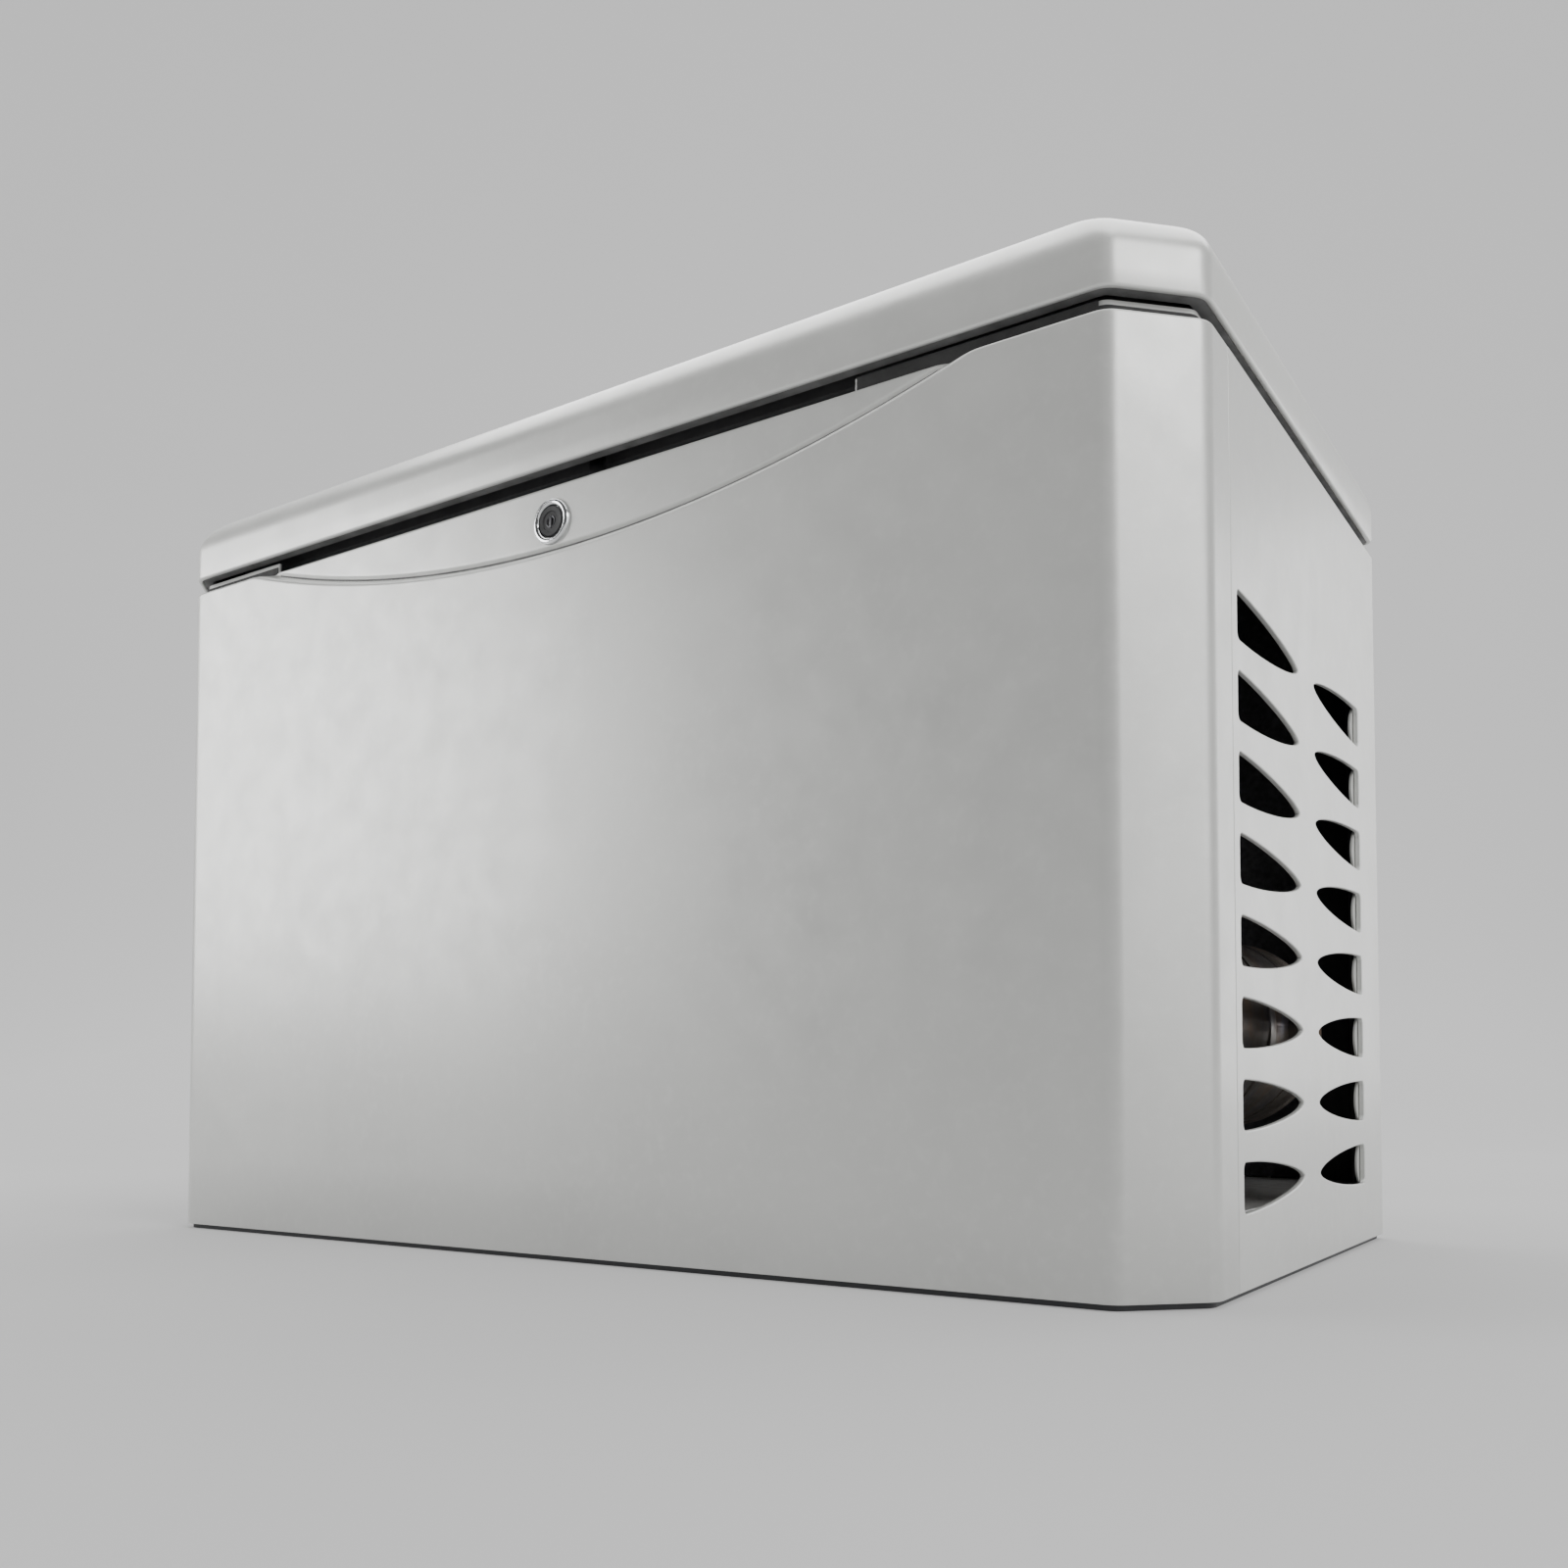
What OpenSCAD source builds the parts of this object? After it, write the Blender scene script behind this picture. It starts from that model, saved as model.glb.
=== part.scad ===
// Home standby generator: moulded enclosure, engine, alternator and controls.
// Origin at the middle of the underside, +X along the length, -Y to the front, +Z up.

/* [Enclosure] */
// Length over the two end panels
body_l = 1216; // [1200:1:1500]
// Depth over the front and rear panels
body_d = 640; // [620:1:800]
// Height of the panels' top edge
panel_top = 730; // [720:1:900]
// Thickness of the moulded panels
wall = 5; // [3.5:0.5:6]
// Leg of the 45 degree chamfers at the two front corners
corner = 58; // [45:1:72]
// Radius of the two bends beside each chamfer
bend_r = 24; // [10:1:36]
// Radius of the two rear corners
rear_r = 10; // [6:1:40]
// Gap between the panels' lower edge and the ground
foot_gap = 5; // [3:1:12]
// Distance from the front face to the side seam
side_seam = 104; // [90:1:115]
// Distance that the end panels wrap around the rear corners
rear_wrap = 100; // [90:1:140]
// Width of the seams between panels
seam_gap = 1.5; // [1:0.5:3]

/* [Lid] */
// Height of the shadow gap between the panels and the lid
lid_gap = 17; // [16:1:28]
// Height of the lid above its lower edge
lid_h = 85; // [56:1:100]
// Height of the lid's upright skirt
skirt_h = 31; // [14:1:36]
// Width of the lid's rounded edge
lid_round = 52; // [36:1:60]
// Rise of the lid's crown above its rounded edge
crown = 9; // [4:1:12]

/* [Gutter] */
// Width of the gutter that carries the lid
gutter_w = 45; // [40:1:60]
// Sheet thickness of the gutter, posts and bulkhead
sheet = 3; // [2:0.5:4]
// Height of the lid gasket
gasket_h = 6; // [4:1:10]
// Left end of the hand grip under the lid
grip_left = -415; // [-440:1:-300]
// Right end of the hand grip under the lid
grip_right = 330; // [200:1:440]

/* [Front scoop and lock] */
// Half the width of the curved scoop at the panel's top edge
scoop_half = 449; // [300:1:460]
// Height of the scoop in the middle
scoop_h = 69; // [66:1:90]
// Depth of the scoop
scoop_deep = 6; // [3:1:8]
// Distance from the panel's top edge to the lock's centre
lock_drop = 35; // [32:1:40]
// Radius of the lock's key plug
plug_r = 15; // [10:0.5:18]
// Radius of the ring around the key plug
ring_r = 22; // [19:0.5:24]

/* [End vents] */
// Number of rows of leaf-shaped vents
vent_rows = 8; // [4:1:8]
// Distance between the rows
vent_pitch = 63.4; // [50:0.1:80]
// Height of the lowest row's centre
vent_base = 83; // [75:1:120]
// Height of a vent at its blunt end
vent_h = 39; // [20:1:46]
// Length of a vent from its blunt end to its tip
vent_len = 186; // [120:1:190]
// Distance between the tips of the two columns
vent_split = 56; // [30:1:70]
// Distance from the front face to the line midway between the columns
vent_mid = 335; // [320:1:345]

/* [Hinges] */
// Distance of the hinge axis behind the rear face
hinge_off = 12; // [10:0.5:16]
// Distance from the middle to each hinge
hinge_x = 380; // [200:1:480]
// Width of a hinge
hinge_w = 90; // [60:1:120]
// Radius of the hinge pins
pin_r = 3; // [2:0.1:4]

/* [Base] */
// Height of the base tray's rim
tray_h = 45; // [30:1:56]
// Thickness of the base tray's floor
tray_floor = 6; // [4:1:10]
// Spacing of the anchor holes along the length
anchor_x = 640; // [600:1:660]
// Spacing of the anchor holes across the depth
anchor_y = 510; // [400:1:520]
// Radius of the anchor holes
anchor_r = 6.5; // [5:0.5:8]
// Height of the rubber isolators
isolator_h = 50; // [30:1:60]

/* [Engine and alternator] */
// Height of the crankshaft above the ground
shaft_z = 235; // [230:1:260]
// Radius of the crankshaft
shaft_r = 20; // [15:0.5:26]
// Length of the crankcase
case_l = 180; // [160:1:200]
// Radius of the alternator's stator can
stator_r = 135; // [120:1:140]
// Length of the stator can
stator_l = 325; // [260:1:330]
// Gap between the alternator's rotor and stator
air_gap = 1.5; // [1:0.1:3]
// Radius of the blower housing
blower_r = 162; // [140:1:165]
// Radius of the cylinder fins
fin_r = 66; // [55:1:70]

/* [Muffler bay] */
// Length of the muffler bay at the right end
bay_l = 262; // [240:1:280]
// Radius of the muffler
muffler_r = 92; // [70:1:100]
// Length of the muffler
muffler_l = 400; // [250:1:420]
// Height of the muffler's axis
muffler_z = 215; // [180:1:320]

/* [Controls] */
// Width of the control box
box_w = 200; // [170:1:220]
// Angle that the control face leans back
face_tilt = 35; // [20:1:45]
// Radius of the round control buttons
button_r = 9; // [6:0.5:10]
// Travel of the round control buttons
button_travel = 1.5; // [1:0.1:3]

/* [Hidden] */

$fn = 48;
eps = 0.01;
play = 0.3;          // gap between pieces of different bodies
fit = 0.05;          // radial clearance of a running fit
weld_line = 0.05;       // open line between two welded sheets
half_l = body_l / 2;
half_d = body_d / 2;

// Lid and gutter heights
lid_z = panel_top + lid_gap;
lid_top = lid_z + lid_h;
rim_in = wall + scoop_deep + 1;
rim_z = panel_top - 8;
rim_wall_top = lid_z - 4;
seal_in = rim_in + gutter_w;
seal_z = lid_z + 3;
rib_z = seal_z + gasket_h + play;
rib_in = seal_in - 8;
rib_t = 18;
lining_t = 12;
roof_lining_t = 20;

// Scoop and lock
scoop_r = (scoop_half * scoop_half + scoop_h * scoop_h) / (2 * scoop_h);
scoop_z = panel_top - scoop_h + scoop_r;
scoop_face = -half_d + scoop_deep;
scoop_back = scoop_face + wall;
lock_z = panel_top - lock_drop;
cam_y = scoop_back + 9;
cam_t = 4;
cam_len = 33;
cam_w = 18;
striker_x = plug_r + 10;
striker_w = 20;

// Vents
vent_half = vent_h / 2;
vent_r = (vent_len * vent_len + vent_half * vent_half) / (2 * vent_half);

// Hinge axis
hinge_y = half_d + hinge_off;
hinge_z = lid_z - 2;
knuckle_r = pin_r + 3;
knuckle_l = hinge_w / 3;
leaf_t = 3;

// Engine
deck = isolator_h + tray_floor;
foot_t = 12;
case_half = 125;
case_base = shaft_z - case_half;
barrel_from = 92;
barrel_to = 182;
head_to = 236;
cover_to = 274;
front_x = 72;
rear_x = 112;
bank = 45;
head_w = 104;
head_d = 96;
port_z = 30;
plug_z = 34;
port_x = head_w / 2 + 6;
blower_l = 120;
cleaner_z = shaft_z + 268;
dip_x = case_l - 15;
dip_y = -case_half - 62;
dip_top = shaft_z + 195;
dip_r = 8;
dip_travel = 245;

// Alternator
core_in = 100;
core_l = stator_l - 130;
core_x = -stator_l + 35;
rotor_r = core_in - air_gap;
bracket_t = 20;

// Muffler bay
bulk_x = half_l - bay_l;
bay_half = half_d - wall - lining_t - 3;
plenum_z = 58;
muffler_x = bulk_x + bay_l / 2 + 4;
pipe_r = 17;
collar_z = muffler_z + muffler_r + 12;
pipe_z = collar_z + 48;
pipe_y = 150;

// Battery and controls stand at the left end
left_x = -half_l + 54;
battery_l = 190;
battery_w = 165;
battery_h = 190;
battery_y = -half_d + corner - 14;
stand_y = battery_y + battery_w + 10;
box_front = -half_d + 61;
box_z = panel_top - 300;
box_top = panel_top - 26;
knee_z = panel_top - 170;
box_t = 2.5;
plate_t = 3;
face_x = left_x + box_w / 2;
button_v = 34;
button_pitch = 42;
display_v = 96;
display_w = 92;
display_h = 46;
rocker_x = 70;
rocker_w = 16;
rocker_h = 34;
breaker_h = 84;
breaker_w = 54;
breaker_d = 20;
breaker_z = box_z + 62;
toggle_y = box_front - breaker_d + 4;

// Services at the rear
fuel_x = -200;
fuel_z = 110;
fuel_r = 9.25;
conduit_x = -430;
conduit_z = 150;
conduit_r = 14;
regulator_x = -120;
regulator_y = half_d - wall - 62;
regulator_z = shaft_z + 215;

paint = [0.83, 0.83, 0.81];
dark = [0.2, 0.2, 0.21];
alloy = [0.62, 0.63, 0.64];

// ---------- outlines ----------

function unit(v) = v / norm(v);

// Points of a circular arc of radius r that rounds the corner q between p and s
function corner_arc(p, q, s, r, n) =
    let (u = unit(p - q), v = unit(s - q), half = acos(u * v) / 2,
         side = cross(q - p, s - q) > 0 ? 1 : -1,
         centre = q + unit(u + v) * r / sin(half),
         from = q + u * r / tan(half) - centre,
         start = atan2(from[1], from[0]))
    [for (i = [0:n]) let (a = start + side * (180 - 2 * half) * i / n)
        centre + r * [cos(a), sin(a)]];

// Outline with each corner rounded to its own radius
function outline(pts, radii, n) =
    let (m = len(pts))
    [for (i = [0:m - 1])
        each corner_arc(pts[(i + m - 1) % m], pts[i], pts[(i + 1) % m], radii[i], n)];

function rounded(pts, r, n = 5) = outline(pts, [for (p = pts) r], n);

// Plan outline of the enclosure, drawn inset from the panel faces
function plan_points(inset) =
    let (a = half_l - inset, b = half_d - inset, c = max(corner - inset * (2 - sqrt(2)), 2),
         bend = max(bend_r - inset, 2), rear = max(rear_r - inset, 2))
    outline([[a, c - b], [a, b], [-a, b], [-a, c - b], [c - a, -b], [a - c, -b]],
            [bend, rear, rear, bend, bend, bend], 5);

module plan_ring(outer, inner) {
    difference() {
        polygon(plan_points(outer));
        polygon(plan_points(inner));
    }
}

module band(z0, z1, outer, inner) {
    translate([0, 0, z0])
        linear_extrude(z1 - z0)
            plan_ring(outer, inner);
}

// Plan area ahead of the line y
module ahead_of(y) {
    translate([-body_l, -body_d * 2])
        square([body_l * 2, body_d * 2 + y]);
}

module round_box(size, r) {
    linear_extrude(size[2])
        polygon(rounded([[0, 0], [size[0], 0], [size[0], size[1]], [0, size[1]]], r, 4));
}

module along_x(x0, l, r) {
    translate([x0, 0, 0])
        rotate([0, 90, 0])
            cylinder(h = l, r = r);
}

module along_y(y0, l, r) {
    translate([0, y0, 0])
        rotate([-90, 0, 0])
            cylinder(h = l, r = r);
}

// Straight slot with round ends, centred, length along x
module slot(l, w) {
    square([l - w, w], center = true);
    for (s = [-1, 1])
        translate([s * (l - w) / 2, 0])
            circle(d = w);
}

// Tube of radius r swept along a list of points
function frame_at(pts, i) =
    let (m = len(pts), t = unit(pts[min(i + 1, m - 1)] - pts[max(i - 1, 0)]),
         ref = abs(t[2]) > 0.9 ? [1, 0, 0] : [0, 0, 1], u = unit(cross(t, ref)))
    [u, cross(t, u)];

function smooth(pts, passes) =
    passes == 0 ? pts :
    let (m = len(pts))
    smooth([pts[0], each [for (i = [0:m - 2])
        each [pts[i] * 0.75 + pts[i + 1] * 0.25, pts[i] * 0.25 + pts[i + 1] * 0.75]],
        pts[m - 1]], passes - 1);

module tube(route, r, sides = 8, passes = 2) {
    pts = smooth(route, passes);
    m = len(pts);
    polyhedron(
        points = [for (i = [0:m - 1]) let (f = frame_at(pts, i)) for (k = [0:sides - 1])
            pts[i] + r * (cos(360 * k / sides) * f[0] + sin(360 * k / sides) * f[1])],
        faces = [
            [for (k = [0:sides - 1]) k],
            [for (k = [0:sides - 1]) (m - 1) * sides + sides - 1 - k],
            for (i = [0:m - 2]) for (k = [0:sides - 1]) let (n = (k + 1) % sides)
                [i * sides + k, (i + 1) * sides + k, (i + 1) * sides + n, i * sides + n]]);
}

// ---------- enclosure ----------

module base_tray() {
    color(dark)
    difference() {
        union() {
            linear_extrude(tray_floor)
                polygon(plan_points(wall + 1));
            band(0, tray_h, wall + 1, wall + 5);
            translate([left_x - 6, battery_y - 6, tray_floor - eps])
                linear_extrude(14)
                    difference() {
                        square([battery_l + 12, battery_w + 12]);
                        translate([5, 5])
                            square([battery_l + 2, battery_w + 2]);
                    }
        }
        for (sx = [-1, 1], sy = [-1, 1])
            translate([sx * anchor_x / 2, sy * anchor_y / 2, -1])
                cylinder(h = tray_floor + 2, r = anchor_r);
    }
}

module corner_posts() {
    reach = corner + 22;
    color(dark)
    translate([0, 0, tray_floor])
        linear_extrude(rim_z - tray_floor)
            intersection() {
                plan_ring(rim_in, rim_in + sheet);
                for (sx = [-1, 1], sy = [-1, 1])
                    translate([sx * half_l, sy * half_d])
                        square(2 * reach, center = true);
            }
}

module gutter_rim() {
    color(paint) {
        difference() {
            union() {
                band(rim_z, rim_wall_top, rim_in, rim_in + sheet);
                band(rim_z, rim_z + sheet, rim_in, seal_in - weld_line);
            }
            // Hand grip in the outer wall
            translate([grip_left, -half_d, rim_z + sheet])
                cube([grip_right - grip_left, seal_in - 2, lid_gap + 20]);
            // Slot for the lock's cam and striker
            translate([-cam_w / 2 - 6, -half_d + rim_in - 1, rim_z - 1])
                cube([striker_x + striker_w + cam_w / 2 + 12, gutter_w - 4, sheet + 2]);
        }
        // Inner wall, which carries the seal
        band(rim_z, seal_z, seal_in, seal_in + sheet);
    }
}

module lid_gasket() {
    color("black")
        band(seal_z, seal_z + gasket_h, seal_in - 3, seal_in + sheet + 3);
}

// Half leaf: blunt end on the y axis, tip at x = vent_len
module leaf() {
    intersection() {
        translate([0, vent_half - vent_r])
            circle(r = vent_r, $fn = 96);
        translate([0, vent_r - vent_half])
            circle(r = vent_r, $fn = 96);
        translate([0, -vent_h])
            square([vent_len + 1, vent_h * 2]);
    }
}

module vent_cuts() {
    for (row = [0:vent_rows - 1], s = [-1, 1])
        translate([half_l - wall - 1, -half_d + vent_mid, vent_base + row * vent_pitch])
            rotate([90, 0, 90])
                linear_extrude(wall + 2)
                    translate([s * (vent_len + vent_split / 2), 0])
                        mirror([s > 0 ? 1 : 0, 0])
                            leaf();
}

module right_shell() {
    difference() {
        translate([0, 0, foot_gap])
            linear_extrude(panel_top - foot_gap)
                difference() {
                    plan_ring(0, wall);
                    ahead_of(-half_d + side_seam + seam_gap);
                    translate([-body_l, -half_d])
                        square([body_l + half_l - rear_wrap, body_d * 2]);
                }
        vent_cuts();
    }
}

module right_end_panel() {
    color(paint)
        right_shell();
}

module left_end_panel() {
    color(paint)
        mirror([1, 0, 0])
            right_shell();
}

module rear_panel() {
    edge = half_l - rear_wrap - seam_gap;
    color(paint)
    difference() {
        translate([-edge, half_d - wall, foot_gap])
            cube([edge * 2, wall, panel_top - foot_gap]);
        for (row = [0:6], s = [-1, 1])
            translate([s * 330, half_d + 1, panel_top - 130 - row * 26])
                rotate([90, 0, 0])
                    linear_extrude(wall + 2)
                        slot(190, 12);
        translate([fuel_x, 0, fuel_z])
            along_y(half_d - wall - 1, wall + 2, fuel_r + 6);
        translate([conduit_x, 0, conduit_z])
            along_y(half_d - wall - 1, wall + 2, conduit_r + 4);
    }
}

module panel_screws() {
    color("silver")
    for (s = [-1, 1], z = [60, panel_top / 2, panel_top - 60])
        translate([s * (half_l - rear_wrap - 16), half_d, z])
            rotate([-90, 0, 0]) {
                cylinder(h = 1.2, r = 8);
                difference() {
                    cylinder(h = 4, r = 6);
                    translate([0, 0, 2])
                        cylinder(h = 3, r = 3, $fn = 6);
                }
            }
}

module muffler_bulkhead() {
    color([0.72, 0.72, 0.7])
    difference() {
        union() {
            translate([bulk_x, -bay_half, tray_floor])
                cube([sheet, bay_half * 2, rim_z - tray_floor - 4]);
            translate([0, 0, plenum_z])
                linear_extrude(sheet)
                    intersection() {
                        polygon(plan_points(rim_in + sheet + 3));
                        translate([bulk_x, -bay_half])
                            square([bay_l, bay_half * 2]);
                    }
        }
        for (s = [-1, 1])
            translate([0, s * pipe_y, pipe_z])
                along_x(bulk_x - 1, sheet + 2, pipe_r + 8);
    }
}

// ---------- lid ----------

// Solid form of the lid, drawn inset from its outer skin
module lid_form(skin, low) {
    edge_h = lid_h - skirt_h - crown;
    hull() {
        translate([0, 0, low])
            linear_extrude(1)
                polygon(plan_points(skin));
        for (a = [0:15:90])
            translate([0, 0, lid_z + skirt_h + edge_h * sin(a) - skin - 0.5])
                linear_extrude(0.5)
                    polygon(plan_points(skin + lid_round * (1 - cos(a))));
        translate([0, 0, lid_top - skin - 0.5])
            linear_extrude(0.5)
                polygon(plan_points(skin + lid_round + 150));
    }
}

module roof() {
    color(paint)
    union() {
        difference() {
            lid_form(0, lid_z);
            lid_form(wall, lid_z - 2);
        }
        intersection() {
            lid_form(wall / 2, lid_z);
            band(rib_z, lid_top, rib_in, rib_in + rib_t);
        }
    }
}

module roof_lining() {
    color(dark)
    intersection() {
        lid_form(wall, lid_z);
        translate([0, 0, lid_top - crown - wall - roof_lining_t])
            linear_extrude(roof_lining_t + crown)
                polygon(plan_points(rib_in + rib_t + 8));
    }
}

module at_hinges() {
    for (s = [-1, 1])
        translate([s * hinge_x, 0, 0])
            children();
}

// One knuckle with the tab that joins it to its leaf; side is 1 above the axis, -1 below
module knuckle(x, l, side, hole) {
    translate([x, 0, 0])
        difference() {
            union() {
                translate([0, hinge_y, hinge_z])
                    along_x(0, l, knuckle_r);
                translate([0, half_d, hinge_z + (side > 0 ? knuckle_r - 4 : -knuckle_r)])
                    cube([l, hinge_off, 4]);
            }
            translate([0, hinge_y, hinge_z])
                along_x(-1, l + 2, hole);
        }
}

module frame_hinge_leaves() {
    color("dimgray")
    at_hinges() {
        translate([-hinge_w / 2, half_d, hinge_z - knuckle_r - 42])
            cube([hinge_w, leaf_t, 46]);
        knuckle(-hinge_w / 2, knuckle_l - play, -1, pin_r);
        knuckle(knuckle_l / 2 + play, knuckle_l - play, -1, pin_r);
    }
}

module roof_hinge_leaves() {
    color("dimgray")
    at_hinges() {
        translate([-hinge_w / 2, half_d, lid_z + 1])
            cube([hinge_w, leaf_t, skirt_h - 4]);
        knuckle(-knuckle_l / 2 + play, knuckle_l - 2 * play, 1, pin_r + fit);
    }
}

module hinge_pins() {
    color("silver")
    at_hinges()
        translate([0, hinge_y, hinge_z]) {
            along_x(-hinge_w / 2, hinge_w, pin_r);
            along_x(-hinge_w / 2 - 3, 3, pin_r + 1.5);
        }
}

// Hook that hangs from the lid's rib and catches under the lock's cam
module lock_striker() {
    rib_y = -half_d + rib_in;
    hook_y = cam_y + cam_t + 5;
    lip_z = lock_z - cam_w / 2 - 2;
    arm_z = rib_z + 10;
    color("silver")
    translate([striker_x, 0, 0])
        rotate([90, 0, 90])
            linear_extrude(striker_w)
                polygon([[cam_y - 1, lip_z - 3], [hook_y + 3, lip_z - 3], [hook_y + 3, arm_z],
                         [rib_y, arm_z], [rib_y, arm_z + 3], [hook_y, arm_z + 3],
                         [hook_y, lip_z], [cam_y - 1, lip_z]]);
}

// ---------- front panel and lock ----------

module front_panel() {
    color(paint)
    difference() {
        union() {
            translate([0, 0, foot_gap])
                linear_extrude(panel_top - foot_gap)
                    intersection() {
                        plan_ring(0, wall);
                        ahead_of(-half_d + side_seam);
                    }
            // Skin behind the scoop
            intersection() {
                translate([0, 0, scoop_z])
                    along_y(-half_d + 1, scoop_deep + wall - 1, scoop_r + 2, $fn = 180);
                translate([-scoop_half - 20, -half_d, panel_top - scoop_h - 20])
                    cube([scoop_half * 2 + 40, scoop_deep + wall, scoop_h + 20]);
            }
        }
        // Scoop with a sloping edge
        translate([0, -half_d - eps, scoop_z])
            rotate([-90, 0, 0])
                cylinder(h = scoop_deep + eps, r1 = scoop_r, r2 = scoop_r - scoop_deep, $fn = 180);
        translate([0, 0, lock_z])
            along_y(-half_d - 1, scoop_deep + wall + 2, plug_r + 2);
    }
}

module front_lining() {
    color(dark)
    translate([-half_l + corner + 24, -half_d + wall, tray_h + 8])
        cube([body_l - 2 * corner - 48, lining_t, panel_top - scoop_h - tray_h - 42]);
}

module lock_ring() {
    color("silver")
    translate([0, 0, lock_z])
        difference() {
            union() {
                along_y(scoop_face - 4, 4, ring_r);
                along_y(scoop_face, wall + 8, plug_r + 2);
                translate([0, scoop_back + 5, 0])
                    rotate([90, 0, 0])
                        cylinder(h = 5, r = plug_r + 8, $fn = 6);
            }
            along_y(scoop_face - 5, wall + 14, plug_r + fit);
        }
}

// Key plug with its cam behind the panel, drawn unlocked with the cam pointing up
module lock_plug() {
    color([0.15, 0.15, 0.16])
    translate([0, 0, lock_z]) {
        difference() {
            along_y(scoop_face - 3, cam_y - scoop_face + 3, plug_r);
            translate([-1.25, scoop_face - 4, -7])
                cube([2.5, 8, 14]);
        }
        translate([-cam_w / 2, cam_y, 0])
            cube([cam_w, cam_t, cam_len]);
        along_y(cam_y, cam_t, cam_w / 2);
    }
}

// ---------- engine ----------

// Places children along the axis of one cylinder bank
module on_bank(s) {
    translate([s < 0 ? front_x : rear_x, 0, shaft_z])
        rotate([-s * bank, 0, 0])
            children();
}

module rubber_isolators() {
    color("black")
    for (p = [[case_l - 30, 150], [case_l - 30, -150],
              [-stator_l - bracket_t / 2, 68], [-stator_l - bracket_t / 2, -68]])
        translate([p[0], p[1], tray_floor])
            cylinder(h = isolator_h, r = 22);
}

module crankcase() {
    color(alloy)
    difference() {
        union() {
            translate([0, -case_half, case_base])
                cube([case_l, case_half * 2, case_half * 2 - 30]);
            translate([10, -case_half + 15, deck + foot_t - eps])
                cube([case_l - 20, case_half * 2 - 30, case_base - deck - foot_t + 1]);
            translate([0, -175, deck])
                cube([case_l, 350, foot_t]);
            for (s = [-1, 1])
                on_bank(s)
                    cylinder(h = barrel_from, r = 60);
            // Dipstick tube
            translate([dip_x, dip_y, case_base + 30])
                cylinder(h = dip_top - case_base - 30, r = dip_r);
            translate([dip_x - dip_r, dip_y, case_base + 30])
                cube([dip_r * 2, -case_half - dip_y + 1, 24]);
        }
        translate([0, 0, shaft_z])
            along_x(-1, case_l + 2, shaft_r + fit);
        translate([dip_x, dip_y, case_base + 44])
            cylinder(h = dip_top, r = 5);
        // Flat seats for the barrels
        for (s = [-1, 1])
            on_bank(s)
                translate([-90, -90, barrel_from])
                    cube([180, 180, 90]);
    }
}

module cylinder_barrels() {
    color(alloy)
    for (s = [-1, 1])
        on_bank(s)
            translate([0, 0, barrel_from]) {
                cylinder(h = barrel_to - barrel_from, r = 48);
                for (i = [0:6])
                    translate([0, 0, 6 + i * 12])
                        cylinder(h = 4, r = fin_r);
            }
}

module cylinder_heads() {
    color(alloy)
    for (s = [-1, 1])
        on_bank(s)
            translate([0, 0, barrel_to]) {
                translate([-head_w / 2 + 8, -head_d / 2 + 8, 0])
                    cube([head_w - 16, head_d - 16, head_to - barrel_to]);
                for (i = [0:3])
                    translate([-head_w / 2, -head_d / 2, 4 + i * 13])
                        cube([head_w, head_d, 4]);
                // Exhaust port and spark plug boss
                translate([0, 0, port_z])
                    along_x(head_w / 2 - 12, 18, pipe_r + 6);
                translate([0, 0, plug_z])
                    along_x(-head_w / 2 - 2, 12, 14);
            }
}

module rocker_covers() {
    color(dark)
    for (s = [-1, 1])
        on_bank(s) {
            translate([-head_w / 2, -head_d / 2, head_to])
                round_box([head_w, head_d, 8], 10);
            translate([-head_w / 2 + 8, -head_d / 2 + 8, head_to])
                round_box([head_w - 16, head_d - 16, cover_to - head_to], 14);
        }
}

module oil_fill_cap() {
    color([0.85, 0.65, 0.1])
    on_bank(-1)
        translate([0, 0, cover_to + play]) {
            cylinder(h = 10, r = 17);
            translate([-3, -14, 10])
                cube([6, 28, 8]);
        }
}

module spark_plugs() {
    color("white")
    for (s = [-1, 1])
        on_bank(s)
            translate([-head_w / 2 - 2, 0, barrel_to + plug_z])
                rotate([0, -90, 0]) {
                    cylinder(h = 14, r = 10, $fn = 6);
                    cylinder(h = 34, r = 5.5);
                    cylinder(h = 42, r = 3);
                }
}

module blower_housing() {
    color(dark)
    translate([0, 0, shaft_z])
        difference() {
            along_x(case_l, blower_l, blower_r);
            along_x(case_l + sheet, blower_l - 2 * sheet, blower_r - sheet);
            along_x(case_l - 1, sheet + 2, shaft_r + 6);
            for (ring = [0:2], k = [0:11])
                rotate([k * 30, 0, 0])
                    translate([case_l + blower_l - sheet - 1, 0, 42 + ring * 24])
                        rotate([0, 90, 0])
                            cylinder(h = sheet + 2, r = 5 + ring * 2);
        }
}

module flywheel_fan() {
    x0 = case_l + 14;
    color(alloy)
    translate([0, 0, shaft_z])
        difference() {
            union() {
                along_x(x0, 46, 44);
                along_x(x0, 8, blower_r - 18);
                for (k = [0:15])
                    rotate([k * 22.5, 0, 0])
                        translate([x0 + 4, -2.5, 70])
                            cube([44, 5, blower_r - 18 - 72]);
            }
            along_x(x0 - 1, 60, shaft_r);
        }
}

module crankshaft() {
    color("silver")
    translate([0, 0, shaft_z])
        along_x(-stator_l - bracket_t + 4, stator_l + case_l + bracket_t + 66, shaft_r);
}

module air_cleaner_base() {
    color(dark)
    translate([front_x - 82, -95, cleaner_z])
        round_box([240, 190, 14], 18);
}

module filter_element() {
    color([0.9, 0.88, 0.8])
    translate([front_x - 72, -85, cleaner_z + 14])
        round_box([220, 170, 42], 12);
}

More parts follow.
